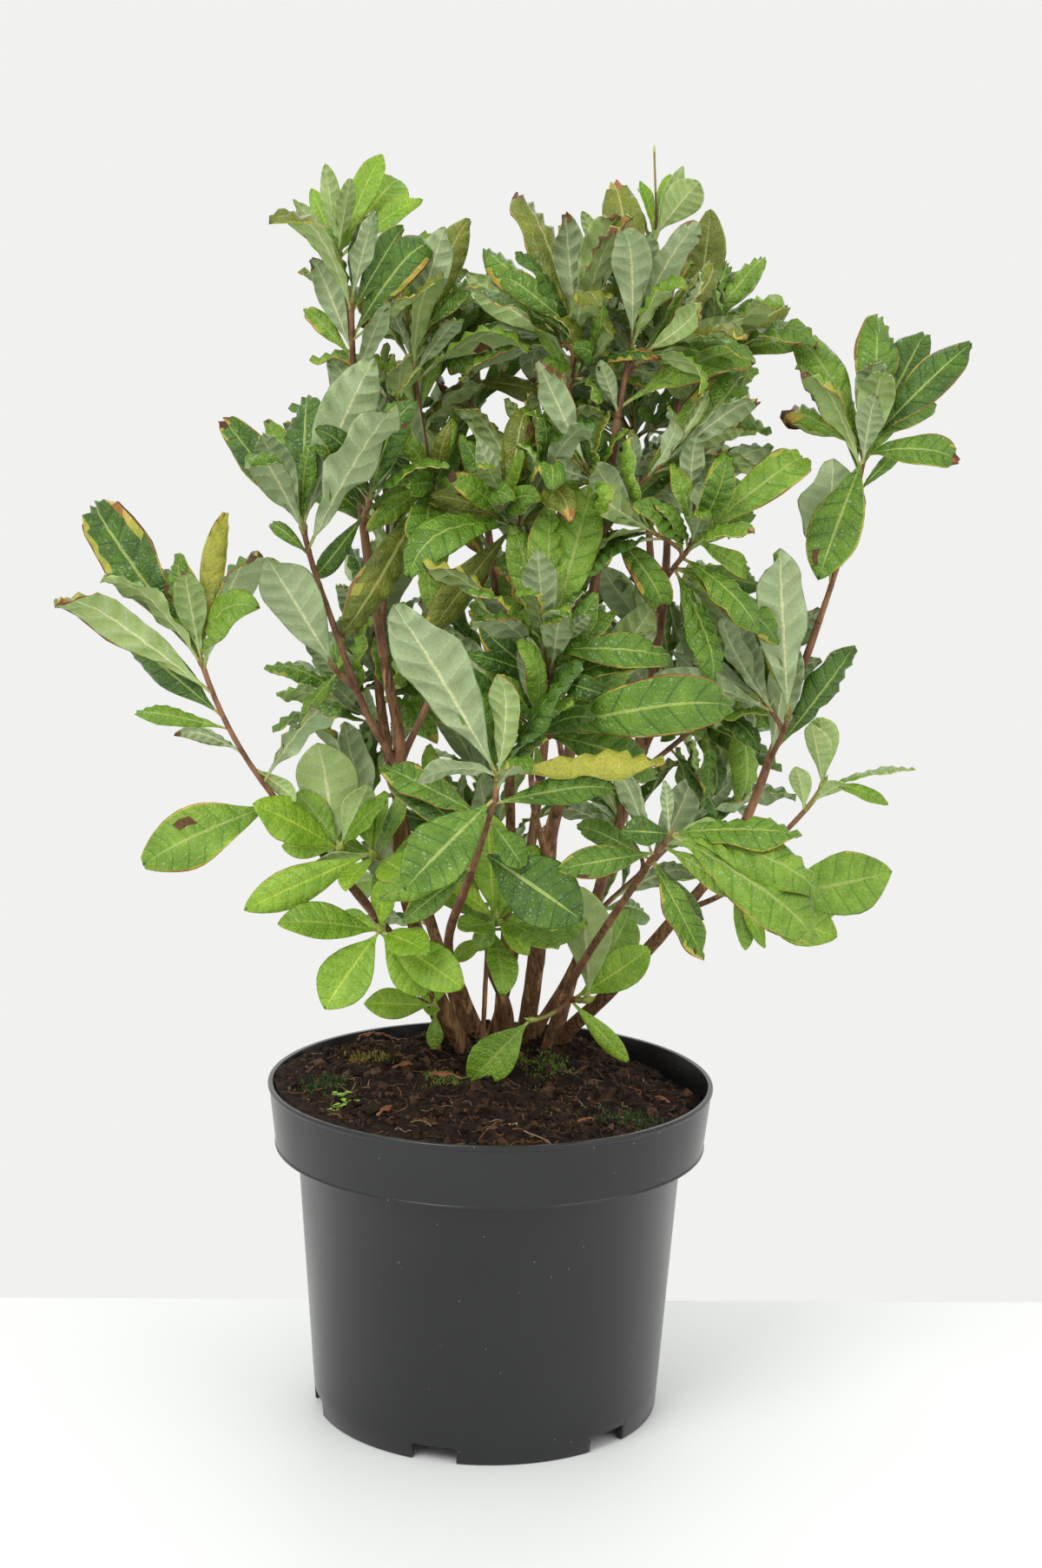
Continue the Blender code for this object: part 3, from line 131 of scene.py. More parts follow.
MOSS_PATCHES = ((-0.073, 0.017, 0.017, "gold"), (0.036, 0.024, 0.019, "green"),
                (0.084, -0.058, 0.020, "dark"), (-0.104, -0.030, 0.014, "dark"),
                (0.000, 0.092, 0.020, "gold"), (-0.030, -0.020, 0.012, "green"))  # x, y, reach, kind
MOSS_TUFTS = 75  # in each patch
MOSS_BLADES = 8
MOSS_SPREAD = 0.002
MOSS_SUNK = 0.0005
MOSS_RISES = (20, 80)
MOSS_FACING = 20
MOSS_KINDS = (0, 0, 1)
MOSS_LENGTHS = (0.002, 0.005)
MOSS_WIDTHS = (0.0006, 0.0013)
SMALL_LEAF = (0.06, 0.55, 0.10)  # thickness over width, where it is widest, and its arch over width
SEEDLINGS = ((-0.094, -0.056), (-0.088, -0.064), (-0.096, -0.068), (-0.013, 0.000))
SEEDLING_LEAVES = 7
SEEDLING_RISES = (15, 65)
SEEDLING_SPREAD = (-10, 25)
SEEDLING_REACH = (0.001, 0.007)
SEEDLING_LENGTHS = (0.0035, 0.0055)
SEEDLING_WIDTHS = (0.0042, 0.0007)  # of a leaf and of its stalk
FALLEN = ((-0.018, -0.022, 170, 0.024), (-0.062, -0.007, 30, 0.016), (-0.070, -0.088, 60, 0.018),
          (0.050, -0.086, 20, 0.012), (0.112, -0.020, 130, 0.014), (0.028, 0.096, 70, 0.030),
          (-0.064, 0.082, 200, 0.026))  # dead leaves on the soil: x, y, heading, length
FALLEN_RISE = 5
DEAD_BEND = 30.0
DEAD_FOLD = 10.0
DEAD_ROLL = 85
DEAD_CURL = 50
DEAD_WAVE = 0.05
CAUGHT = (Vector((-0.030, 0.040, 0.250)), 150, -10, 0.042)  # the dead leaf in the clump's foot
FALLEN_LIFT = 0.003
KNOB = (0.010, 0.026, 0.002)  # a stub of old root: x, y and how high over the soil
KNOB_STEP = Vector((0.0045, 0.001, 0.0))
KNOB_SIZE = 0.0062
KNOB_TAPER = 0.0012
STRAW = (0.014, -0.086, 0.001)
STRAW_LENGTH = 0.016
STRAW_RADIUS = 0.0007
STRAW_STEPS = 3
STRAW_RISE = 0.05

# Limbs and shoots.
ROOT_FLARE = 0.50
FLARE_HEIGHT = 0.010
BARK_STEP = 0.0028
BARK_SIDES = 16
BARK_RELIEF = 0.13
SUNK = 0.012  # how far a stem's foot runs on below the ground
CURVE_STEPS = 12
JOINT_OVERLAP = 0.002
COLLAR_REACH = 0.014  # how far along a limb the thickness of the one that it carries on reaches
CROTCH_SWELL = 0.45  # the swelling of a limb that leaves another's side
CROTCH_REACH = 0.008
RIDGES = 2.2  # how fine the bark's ridges and plates are
PLATES = 0.8
BARK_ROUND = 1.6  # and how they are stretched, round the limb and along it
BARK_ALONG = 26.0
BARK_SEEDS = (91, 57, 33)  # for each metre, so that no two limbs have the same bark
PLATE_EDGE = 0.12  # the noise above which bark lifts in a plate
PLATE_LIFT = 0.5
RELIEF_FADE = 0.01  # how far before a limb's tip its relief begins to fade
STRINGY_RADIUS = 2.2  # millimetres, the radius above which bark is stringy
STRINGY_PATCHES = 5.0  # millimetres that this differs from patch to patch
PATCH_FINENESS = 30.0
STRINGY_HEIGHT = 0.30
STRINGY_FALL = 14.0  # millimetres of radius for each metre of height
TWIG_RADIUS = 0.0017
SIDE_TWIG_RADIUS = 0.0013
FIRST_TWIG_SWELL = 1.5
FORK_SWELL = 1.3
TWIG_FOOT_REACH = 0.012
SCAR_STEP = 0.0055
SCAR_SWELL = 0.10
SCAR_CURVE = 6
GREEN_FROM = 0.45  # the share of a young shoot beyond which its bark is still green
TWIG_SIDES = 8
TWIG_STEP = 0.0022
TWIG_SWING = 0.35
TWIG_RISE = 0.8
BUD_LENGTH = 0.010
BUD_SWELL = 1.75
BUD_ARCH = 1.5  # how soon a bud swells and narrows, and how blunt it ends
BUD_POINT = 0.88
BUD_CURVE = 2.2
BARE_TIP = 0.004  # the point of a shoot without a bud
TUBE_STEPS = 6
LIMB_TUBE_SIDES = 6

# Leaves: long egg shapes, widest beyond the middle, on a short stalk.
PETIOLE = 0.08
PETIOLE_WIDTH = 0.0019
PETIOLE_DEPTH = 0.0015
OUTLINE_SKEW = 1.38
OUTLINE_FULLNESS = 0.78
LEAF_STATIONS = (0.40, 0.76)
CLEARANCE = 0.0003
OWN_SHOOT_REACH = 0.014  # how far out a leaf begins to keep clear of its own shoot
OWN_SHOOT_SHARE = 0.35  # and the most that this may be of the leaf's length
GOLDEN_TURN = 137.5
WHORL_START = 0.007
WHORL_STEP = 0.0024
WHORL_LEAVES = 10
LOWER_LEAF_STEP = 0.012
WHORL_LOWEST = 0.08  # the share of the shoot below which no leaf grows
UPRIGHT = 0.98  # the rise of a direction that counts as straight up
ALONG_HINT = 0.05  # a hint this nearly along a leaf says nothing of its upper side
OPENING_CURVE = 0.8  # how soon the whorl opens, going down the shoot
LEAST_OPENING = 8.0
INNER_LEAF_SIZE = 0.78
INNER_LEAF_GROWTH = (0.35, 2.0)  # the share of full size at the tip, and how soon it is reached
BEND_SHARES = (0.6, 0.6, 0.2)  # of the look's bend: at the tip, more at the foot, and either way
LEAF_WAVER = 9.0
HOUR = 30.0  # degrees
WHORL_TURNS = (7919, 3571, 1237)  # degrees of turn for each metre, so that neighbours differ
WHORL_SPREAD = 1.5  # how much more a whorl's leaves differ in length than the look's leading ones
TOP, UNDER = 1, -1  # the side of a leading leaf that shows from the front
SHOWN = 0.6  # how far that side is turned to the front
LEANS = (6.0, 26.0)  # degrees
STEEP = 0.3  # a leaf that rises by more than this share of its length is steep
LEAF_SEAT = 0.6  # of the bud's length, the nearest to a shoot's tip that a leaf grows
TRIES = 24
NUDGE = 1.2  # degrees more at each try
SHRINK = 0.014  # smaller by this at each try
MORE_LEAVES = 1.75  # times the solids' leaves, which are larger than life
LONGER = 1.08
FORKS = {
    "foliage_inner_left": 3, "foliage_top_centre": 3, "foliage_centre_upper": 2,
    "foliage_top_right_centre": 3, "foliage_centre_right": 2, "foliage_top_right": 3,
    "foliage_right_middle": 2, "foliage_centre": 2, "foliage_centre_low": 1, "foliage_back_top": 3,
    "foliage_right_back_low": 2, "foliage_right_side": 1, "foliage_back_left_top": 3,
    "foliage_back_left": 2, "foliage_back_left_low": 1, "foliage_back_middle": 3,
    "foliage_back_low": 1, "foliage_back_right_top": 3, "foliage_back_right": 2,
    "foliage_back_right_low": 1,
}  # the finer side shoots that each mass has
FORK_LEAVES = 6
FORK_LEAF_SIZE = 0.88
FORK_WAVER = 25.0
FORK_REACH = (0.030, 0.055)
FORK_PLACES = (0.20, 0.70)
FORK_RISES = (30.0, 65.0)
CROWN_LOW = (-0.276, -0.170, 0.2)
CROWN_HIGH = (0.292, 0.298, 0.792)
BACK_FROM = 0.10  # bounds in plan between the parts of the crown whose leaves are joined
BACK_MIDDLE = 0.02
LEFT_TO = -0.047
RIGHT_FROM = 0.081
FAR = 9.0  # metres, beyond everything

# The leaf's finer build: seven pairs of side veins that sweep forward, sunk on top and proud below.
# Places are shares of its length, and columns shares of half its width.
VEINS = 7
VEIN_HALF = 0.0060
VEIN_SWEEP = 0.105
SWEEP_CURVE = 0.8
STALK_PLACES = (0.0, 0.042, 0.083)
VEINED = 0.90  # the share of the length that has veins
LAST_PANEL = 0.35  # the part of a panel beyond the last vein
VEIN_SEAT = 0.52  # where a vein lies in its panel
LAST_PLACE = 0.995
COLUMNS = (-1.0, -0.93, -0.68, -0.36, -0.088, 0.088, 0.36, 0.68, 0.93, 1.0)
RIB_COLUMN = 0.1  # the columns nearer than this to the middle are the midrib's
RIB_TAPER = 0.75
RIB_DEPTH = 0.00095
RIB_FOOT = 1.15  # its share of that depth at the foot, which falls by one up to the tip
BLADE_START = 6.0  # how soon the blade's relief begins beyond the stalk
VEIN_DEPTH = 0.00016
QUILTING = 0.028  # the bulge between veins, as a share of the leaf's length
QUILT_COLUMNS = (0.0, 0.05, 0.36, 0.68, 0.91, 1.0)  # and how high it is from the rib to the margin
QUILT_HEIGHTS = (0.0, 0.05, 1.0, 0.9, 0.30, 0.0)
BULGES = (1.0, -0.35, 0.2)  # how much of it a panel, a vein and the stalk have
SCALLOPS = (1.0, -0.6, 0.0)  # and of the margin's scallops
BLADE_THICKNESS = 0.00042
SPINE_STEPS = 80
ROLL_STEPS = 32
CURL_START = 0.55  # the share of its length from which a leaf's tip curls
CURL_CURVE = 1.6
ROLL_CURVE = 1.7
BALANCE = 0.6  # the place on a curled leaf that lies in its chord's direction
BEND_LIFT = 0.2  # the share of its bend by which it is lifted from there

# Its ageing: autumn colour creeps in from the margin, and from the tip.
OLD_ROLLED = 0.12  # the share of the old leaves that have rolled up, dried at the tip or spotted
OLD_DRY = 0.14
OLD_SPOTTED = 0.10
ROLLED_UP = (110, 160)  # degrees
ROLLED_CURL = (40, 90)
ROLLED_EDGE = 0.8
DRY_TIPS = (0.04, 0.14)
SPOTS = (0.25, 0.85)
EDGE_SPREAD = 0.28
EDGE_STAGES = ((0.30, "turning"), (0.46, "yellow"), (0.66, "amber"), (0.84, "red"), (9.0, "brown"))
EDGE_DEPTHS = {"margin": 0.0, "outer": 0.55, "middle": 0.95, "inner": 1.1, "rib": 1.2}
EDGE_PATCHES = (0.75, 0.9)  # how much of the edge is even, and how much in patches
EDGE_GROWTH = (0.55, 0.7)  # the edge's strength at the stalk, and how much more it has at the tip
EDGE_SHOWS = 0.16  # the strength from which it shows on the upper side, and on the underside
DRY_UNDER = 0.62
DRIED = 1.2  # added to the edge's strength where the tip is dry
SPOT_REACH = 0.05
SPOT_STRIPS = (1, 6)  # a dead spot lies in one of these strips of the blade
PATCH_SEEDS = 90
PATCH_LENGTH = 2.6  # how fine the patches of autumn colour are, and how much the two halves differ
PATCH_APART = 3.0
MARK_WIDTHS = {"wide": 0.54, "broad": 0.38, "thin": 0.24, "narrow": 0.31, "pale": 0.30, "edged": 0.26,
               "yellow": 0.22, "bright": 0.29, "spotted": 0.40}  # the width over the length

Look = namedtuple("Look", "first_open last_open bend width fold spread tones autumn")
MATURE = Look(54.0, 8.0, 36.0, 0.32, 9.0, 0.15, (0, 0, 1, 1, 1, 2, 2), 0.38)
AGED = Look(54.0, 8.0, 44.0, 0.29, 9.0, 0.15, (0, 1, 1, 2, 2, 5, 5), 0.58)
YOUNG = Look(46.0, 12.0, 14.0, 0.24, 20.0, 0.16, (3, 3, 3, 2), 0.06)
FRESH = Look(80.0, 36.0, 22.0, 0.44, 12.0, 0.16, (2, 2, 3, 3), 0.10)

Limb = namedtuple("Limb", "name parent at through width tip_width")
Shoot = namedtuple("Shoot", "tip leaves length look off leading", defaults=(None, ()))
Mass = namedtuple("Mass", "name limb at shoots")
Leaf = namedtuple("Leaf", "base chord up length bend width fold look mark seed")

# The studio: the camera's pitch, roll and yaw in degrees, its place, and its lens in millimetres.
CAMERA_TURNS = (9.891, -1.074, 2.215)
CAMERA_PLACE = (-0.04623, -1.6001, 0.67888)
CAMERA_LENS = 60.2167
FRAME_HEIGHT = 36.0  # the film's, in millimetres
FLOOR_END = 0.165  # the table's far edge, just behind the pot
FLOOR_SIZE = 9.0
LIT_HEIGHT = 0.42  # what the soft boxes face
LIGHTS = (("key", (-1.1, -1.5, 2.0), 1.2, 27.0), ("fill", (1.6, -1.2, 1.1), 1.6, 9.0),
          ("back", (0.3, 1.6, 1.7), 1.6, 10.0))  # name, place, size and watts


# The plant's plan

def limb_rows():
    """Each stem: its foot, bends and tip. Each bough: where it leaves its parent, bends and tip."""
    soil = None
    return [
        Limb("stem_left", soil, 0, [(-0.016, 0.050), (-0.037, 0.036, 0.265), (-0.058, 0.018, 0.340),
                                    (-0.060, 0.010, 0.420)], 0.0095, 0.0078),
        Limb("stem_far_left", soil, 0, [(-0.028, 0.070), (-0.048, 0.055, 0.265), (-0.078, 0.022, 0.315),
                                        (-0.130, -0.015, 0.385)], 0.0072, 0.0048),
        Limb("stem_centre", soil, 0, [(0.024, 0.070), (0.028, 0.048, 0.265), (0.035, 0.020, 0.360)],
             0.0120, 0.0100),
        Limb("stem_tall", soil, 0, [(0.003, 0.078), (0.018, 0.068, 0.290), (0.035, 0.060, 0.445),
                                    (0.040, 0.030, 0.620)], 0.0072, 0.0044),
        Limb("stem_front", soil, 0, [(0.000, 0.046), (-0.016, 0.031, 0.254), (-0.028, 0.002, 0.298),
                                     (-0.015, -0.050, 0.355)], 0.0070, 0.0050),
        Limb("stem_right", soil, 0, [(0.044, 0.072), (0.078, 0.042, 0.258), (0.125, 0.010, 0.325)],
             0.0098, 0.0074),
        Limb("stem_right_front", soil, 0, [(0.037, 0.054), (0.050, 0.018, 0.268), (0.090, -0.080, 0.368)],
             0.0056, 0.0040),
        Limb("stem_right_back", soil, 0, [(0.030, 0.088), (0.065, 0.078, 0.290), (0.105, 0.085, 0.470),
                                          (0.110, 0.070, 0.615)], 0.0070, 0.0044),
        Limb("stem_back_left", soil, 0, [(-0.014, 0.094), (-0.050, 0.128, 0.320), (-0.075, 0.160, 0.430),
                                         (-0.070, 0.150, 0.530)], 0.0084, 0.0046),
        Limb("stem_back", soil, 0, [(0.008, 0.102), (0.015, 0.150, 0.345), (0.005, 0.178, 0.480),
                                    (-0.010, 0.150, 0.590)], 0.0080, 0.0044),
        Limb("stem_back_right", soil, 0, [(0.046, 0.100), (0.080, 0.140, 0.320), (0.112, 0.168, 0.430),
                                          (0.105, 0.158, 0.540)], 0.0084, 0.0046),
        Limb("stem_low_left", soil, 0, [(-0.033, 0.046), (-0.035, 0.038, 0.236)], 0.0030, 0.0026),
        Limb("stem_low_front", soil, 0, [(-0.005, 0.034), (-0.003, 0.026, 0.285)], 0.0034, 0.0028),
        Limb("stem_stub", soil, 0, [(0.013, 0.054), (0.011, 0.046, 0.244), (-0.001, 0.046, 0.272)],
             0.0078, 0.0064),
        Limb("bough_left_leader", "stem_left", 1.0, [(-0.070, 0.015, 0.475), (-0.084, 0.020, 0.560),
                                                     (-0.090, 0.025, 0.640)], 0.0066, 0.0044),
        Limb("bough_left", "stem_left", 0.94, [(-0.082, 0.002, 0.446), (-0.105, -0.010, 0.510)],
             0.0046, 0.0038),
        Limb("bough_left_inner", "stem_left", 0.95, [(-0.036, 0.034, 0.470), (-0.040, 0.050, 0.555)],
             0.0044, 0.0036),
        Limb("bough_centre_right", "stem_centre", 1.0, [(0.044, 0.010, 0.405), (0.052, 0.000, 0.475),
                                                        (0.062, -0.004, 0.555), (0.070, 0.000, 0.625)],
             0.0082, 0.0046),
        Limb("bough_centre_left", "stem_centre", 0.92, [(0.024, -0.008, 0.385), (0.020, -0.032, 0.415)],
             0.0044, 0.0036),
        Limb("bough_right", "stem_right", 1.0, [(0.155, 0.012, 0.370), (0.176, 0.020, 0.425),
                                                (0.200, 0.020, 0.500)], 0.0062, 0.0044),
        Limb("bough_right_low", "stem_right", 0.93, [(0.148, -0.012, 0.338), (0.175, -0.030, 0.375)],
             0.0036, 0.0030),
        Limb("bough_right_mid", "bough_centre_right", 0.40, [(0.084, 0.012, 0.500), (0.105, -0.010, 0.535)],
             0.0042, 0.0034),
    ]


def mass_rows():
    """Each mass: the limb it grows from, how far along, and its shoots with their leading leaves.

    A shoot gives its tip, how many leaves it has, their length and look, the shoot and the place
    that it forks from, and its leading leaves. A leading leaf gives its place on the shoot, the
    hour that it points to on a clock face seen from the front, its length as seen, its bend and
    the side that shows.
    """
    return [
        Mass("foliage_far_left", "stem_far_left", 1.0, [
            Shoot((-0.180, -0.040, 0.485), 13, 0.088, MATURE, None, (
                (0.98, 10.75, 0.130, 30, TOP, "edged"), (0.76, 10.25, 0.120, 15, UNDER, "edged"),
                (0.62, 10.25, 0.085, 20, TOP), (0.55, 9.5, 0.060, 20, TOP),
                (0.90, 0.75, 0.090, 40, UNDER, "dry_tip"), (0.98, 0.25, 0.090, 40, TOP, "yellow"),
                (0.98, 11.75, 0.060, 25, UNDER), (0.40, 9.5, 0.045, 40, UNDER),
                (0.20, 1.25, 0.080, 30, UNDER), (0.05, 8.25, 0.090, 30, TOP, "spotted"),
                (0.30, 4.25, 0.035, 30, UNDER),
            ))]),
        Mass("foliage_far_left_inner", "stem_far_left", 0.78, [
            Shoot((-0.094, -0.012, 0.366), 5, 0.060, FRESH, None, (
                (0.30, 11.75, 0.075, 15, UNDER, "wide"), (0.95, 0.75, 0.045, 30, UNDER),
                (0.70, 9, 0.040, 30, TOP), (0.90, 10.75, 0.045, 20, TOP),
            ))]),
        Mass("foliage_left_upper", "bough_left", 1.0, [
            Shoot((-0.120, -0.020, 0.565), 9, 0.085, MATURE, None, (
                (0.90, 10.75, 0.085, 45, TOP, "edged"), (0.98, 11.25, 0.065, 15, UNDER),
                (0.98, 10.75, 0.050, 20, TOP), (0.98, 12, 0.085, 15, TOP),
                (0.98, 0.75, 0.110, 25, UNDER, "pale"), (0.64, 1, 0.105, 20, UNDER, "pale"),
                (0.56, 10.25, 0.035, 50, TOP),
            ))]),
        Mass("foliage_left_hanging", "bough_left", 0.50, [
            Shoot((-0.104, -0.016, 0.480), 2, 0.070, MATURE, None, (
                (0.60, 11, 0.085, 15, UNDER, "broad"), (0.60, 7.25, 0.040, 25, TOP),
            ))]),
        Mass("foliage_left_middle", "bough_left_leader", 0.64, [
            Shoot((-0.078, -0.012, 0.582), 8, 0.075, MATURE, None, (
                (0.50, 0.5, 0.060, 20, UNDER, "pale"), (0.30, 11, 0.055, 20, TOP),
                (0.30, 5.75, 0.055, 60, UNDER), (0.90, 11.25, 0.055, 20, TOP), (0.35, 2, 0.030, 30, TOP),
                (0.30, 7.25, 0.055, 40, TOP),
            ))]),
        Mass("foliage_top_left", "bough_left_leader", 1.0, [
            Shoot((-0.092, 0.014, 0.700), 9, 0.078, AGED, None, (
                (0.90, 0.5, 0.050, 20, UNDER, "pale"), (0.35, 11.25, 0.065, 15, UNDER, "dry_tip"),
                (0.30, 10.5, 0.045, 30, TOP, "edged"), (0.50, 1.25, 0.090, 40, TOP),
                (0.48, 1.75, 0.050, 15, UNDER, "yellow"), (0.05, 0.75, 0.055, 20, UNDER),
                (0.75, 1, 0.065, 40, TOP),
            )),
            Shoot((-0.102, 0.044, 0.726), 10, 0.055, YOUNG, (0, 0.35), (
                (0.85, 10.75, 0.045, 15, TOP), (0.95, 11.75, 0.055, 10, UNDER),
                (0.92, 11.25, 0.045, 10, TOP), (0.88, 12, 0.040, 10, UNDER), (0.97, 0.75, 0.070, 25, TOP),
                (0.93, 0.5, 0.050, 10, UNDER), (0.92, 1.25, 0.065, 25, TOP, "wide"),
                (0.82, 10.25, 0.025, 20, TOP), (0.88, 1.75, 0.065, 20, TOP),
            ))]),
        Mass("foliage_inner_left", "bough_left_inner", 1.0, [
            Shoot((-0.056, 0.045, 0.672), 12, 0.078, AGED, None, (
                (0.96, 0.5, 0.075, 15, UNDER, "pale"), (0.98, 1.5, 0.070, 35, TOP, "edged"),
                (0.98, 0.25, 0.075, 30, TOP), (0.96, 0.75, 0.090, 15, TOP), (0.80, 1.25, 0.050, 30, UNDER),
                (0.60, 0.5, 0.045, 20, TOP),
            )),
            Shoot((-0.040, 0.005, 0.588), 9, 0.072, AGED, (0, 0.18), (
                (0.50, 11.25, 0.070, 40, UNDER, "edged"), (0.50, 7, 0.110, 30, TOP, "rolled"),
                (0.90, 0.5, 0.045, 30, TOP), (0.50, 4.75, 0.055, 30, TOP), (0.60, 6, 0.080, 35, TOP),
            ))]),
        Mass("foliage_back_top", "stem_back", 1.0, [
            Shoot((-0.022, 0.122, 0.662), 13, 0.078, AGED, None, (
                (0.95, 1.25, 0.045, 30, UNDER), (0.96, 11.5, 0.030, 20, UNDER),
                (0.45, 1.25, 0.060, 30, TOP), (0.75, 3.25, 0.060, 40, TOP), (0.25, 12, 0.050, 15, UNDER),
                (0.98, 0.75, 0.070, 30, TOP), (0.20, 4.25, 0.060, 40, TOP), (0.50, 5, 0.075, 40, TOP),
                (0.40, 7, 0.070, 40, TOP),
            ))]),
        Mass("foliage_top_centre", "stem_tall", 1.0, [
            Shoot((0.045, 0.010, 0.682), 15, 0.080, AGED, None, (
                (0.95, 11.75, 0.075, 25, UNDER, "dry_tip"), (0.98, 0.5, 0.080, 30, UNDER, "dry_tip"),
                (0.93, 11.25, 0.105, 30, TOP, "dry_tip"), (0.93, 11.5, 0.080, 30, TOP, "edged"),
                (0.90, 10.25, 0.065, 30, TOP, "edged"), (0.80, 10.5, 0.085, 35, TOP),
                (0.45, 11, 0.045, 40, TOP, "edged"), (0.15, 11.5, 0.035, 15, UNDER),
                (0.92, 1.25, 0.055, 30, TOP, "yellow"), (0.95, 12, 0.050, 30, TOP),
            ))]),
        Mass("foliage_centre_upper", "stem_tall", 0.80, [
            Shoot((0.002, -0.022, 0.572), 13, 0.082, AGED, None, (
                (0.95, 11.25, 0.050, 15, UNDER, "pale"), (0.95, 9.5, 0.050, 25, TOP),
                (0.90, 1, 0.065, 20, TOP), (0.92, 0.25, 0.075, 20, TOP), (0.75, 1.75, 0.040, 30, TOP),
                (0.80, 7.25, 0.085, 40, TOP), (0.60, 5.5, 0.075, 40, TOP),
            ))]),
        Mass("foliage_top_right_centre", "bough_centre_right", 1.0, [
            Shoot((0.080, 0.000, 0.688), 13, 0.076, AGED, None, (
                (0.95, 0.25, 0.055, 15, UNDER, "pale"), (0.93, 1.25, 0.055, 30, TOP),
                (0.96, 11.75, 0.095, 35, TOP, "dry_tip"), (0.10, 2.25, 0.100, 70, TOP, "edged"),
                (0.05, 11.25, 0.035, 15, UNDER, "pale"), (0.10, 11.5, 0.045, 30, TOP, "yellow"),
                (0.70, 0.75, 0.040, 25, TOP),
            )),
            Shoot((0.094, 0.040, 0.742), 5, 0.042, YOUNG, (0, 0.40), (
                (0.96, 11.5, 0.035, 10, TOP), (0.96, 0.5, 0.040, 10, TOP),
                (0.94, 1.25, 0.040, 15, UNDER, "wide"),
            )),
            Shoot((0.0915, 0.042, 0.790), 0, 0.0, YOUNG, (1, 0.95))]),
        Mass("foliage_centre_right", "bough_centre_right", 0.74, [
            Shoot((0.082, -0.022, 0.592), 8, 0.082, AGED, None, (
                (0.55, 1.5, 0.120, 35, TOP, "edged"), (0.75, 12, 0.040, 15, UNDER),
                (0.20, 11.5, 0.075, 20, TOP), (0.35, 1.75, 0.050, 30, TOP),
                (0.05, 2.5, 0.040, 30, TOP, "edged"), (0.05, 4, 0.105, 45, TOP, "rolled"),
                (0.10, 5.5, 0.060, 35, TOP), (0.15, 4.75, 0.065, 35, TOP),
            ))]),
        Mass("foliage_top_right", "stem_right_back", 1.0, [
            Shoot((0.122, 0.060, 0.676), 12, 0.078, AGED, None, (
                (0.96, 0.25, 0.085, 15, TOP), (0.94, 0.5, 0.050, 15, UNDER, "edged"),
                (0.98, 0.75, 0.065, 20, TOP), (0.92, 1.25, 0.080, 25, TOP), (0.80, 1.75, 0.060, 30, TOP),
                (0.50, 1.75, 0.035, 50, TOP, "edged"), (0.80, 10.75, 0.050, 30, TOP),
                (0.45, 10.75, 0.035, 30, TOP),
            ))]),
        Mass("foliage_right_middle", "bough_right_mid", 1.0, [
            Shoot((0.117, -0.032, 0.560), 14, 0.078, MATURE, None, (
                (0.85, 1.75, 0.100, 50, TOP, "edged"), (0.92, 11.5, 0.050, 20, TOP, "edged"),
                (0.70, 0.25, 0.045, 20, UNDER, "edged"), (0.90, 0.75, 0.065, 20, TOP),
                (0.95, 4, 0.045, 50, TOP), (0.05, 4, 0.080, 40, TOP, "edged"), (0.05, 3.25, 0.060, 45, TOP),
                (0.05, 4.75, 0.035, 20, UNDER), (0.05, 5.25, 0.075, 30, TOP),
            ))]),
        Mass("foliage_right_back_low", "stem_right_back", 0.46, [
            Shoot((0.158, 0.074, 0.462), 11, 0.070, MATURE, None, (
                (0.95, 1.25, 0.030, 20, TOP, "yellow"), (0.88, 5.25, 0.035, 30, UNDER, "wide"),
                (0.60, 5.5, 0.050, 40, TOP), (0.62, 6, 0.055, 60, TOP, "edged"),
                (0.95, 5.75, 0.085, 20, TOP), (0.35, 4.75, 0.055, 30, TOP), (0.98, 11.5, 0.035, 15, TOP),
            ))]),
        Mass("foliage_right_spray", "bough_right", 1.0, [
            Shoot((0.226, 0.020, 0.616), 19, 0.078, MATURE, None, (
                (0.90, 6.75, 0.080, 30, TOP, "broad"), (0.92, 6.25, 0.080, 20, UNDER, "pale"),
                (0.20, 12, 0.085, 20, UNDER, "wide"),
                (0.97, 0.25, 0.090, 20, TOP), (0.97, 1, 0.085, 25, TOP),
                (0.96, 1.5, 0.095, 35, TOP, "edged"), (0.96, 11, 0.085, 30, TOP, "dry_tip"),
                (0.95, 10.75, 0.070, 20, TOP, "edged"), (0.85, 0.25, 0.070, 20, UNDER),
                (0.92, 10, 0.065, 95, TOP, "withered"), (0.90, 3, 0.060, 85, TOP, "dry_tip"),
                (0.95, 1.75, 0.070, 20, TOP), (0.70, 1.5, 0.045, 25, TOP),
                (0.88, 11.25, 0.060, 25, TOP, "edged"),
            ))]),
        Mass("foliage_right_side", "bough_right", 0.50, [
            Shoot((0.180, -0.014, 0.452), 4, 0.080, MATURE, None, (
                (0.20, 0.25, 0.080, 15, UNDER, "pale"), (0.30, 1.25, 0.085, 20, TOP),
                (0.85, 11.75, 0.110, 15, UNDER, "pale"), (0.98, 11.75, 0.070, 20, TOP),
            ))]),
        Mass("foliage_right_low", "bough_right_low", 1.0, [
            Shoot((0.200, -0.042, 0.415), 5, 0.055, FRESH, None, (
                (0.60, 1.75, 0.025, 30, UNDER), (0.95, 3.5, 0.040, 50, TOP, "thin"),
                (0.96, 11.75, 0.045, 20, UNDER), (0.45, 11.5, 0.030, 30, UNDER),
            ))]),
        Mass("foliage_right_lowest", "bough_right_low", 0.45, [
            Shoot((0.170, -0.044, 0.342), 6, 0.060, FRESH, None, (
                (0.98, 2.5, 0.075, 20, TOP, "wide"), (0.20, 3, 0.065, 20, TOP, "wide"),
                (0.20, 3.75, 0.065, 30, TOP), (0.10, 5, 0.040, 50, TOP, "thin"), (0.05, 5.5, 0.040, 25, TOP),
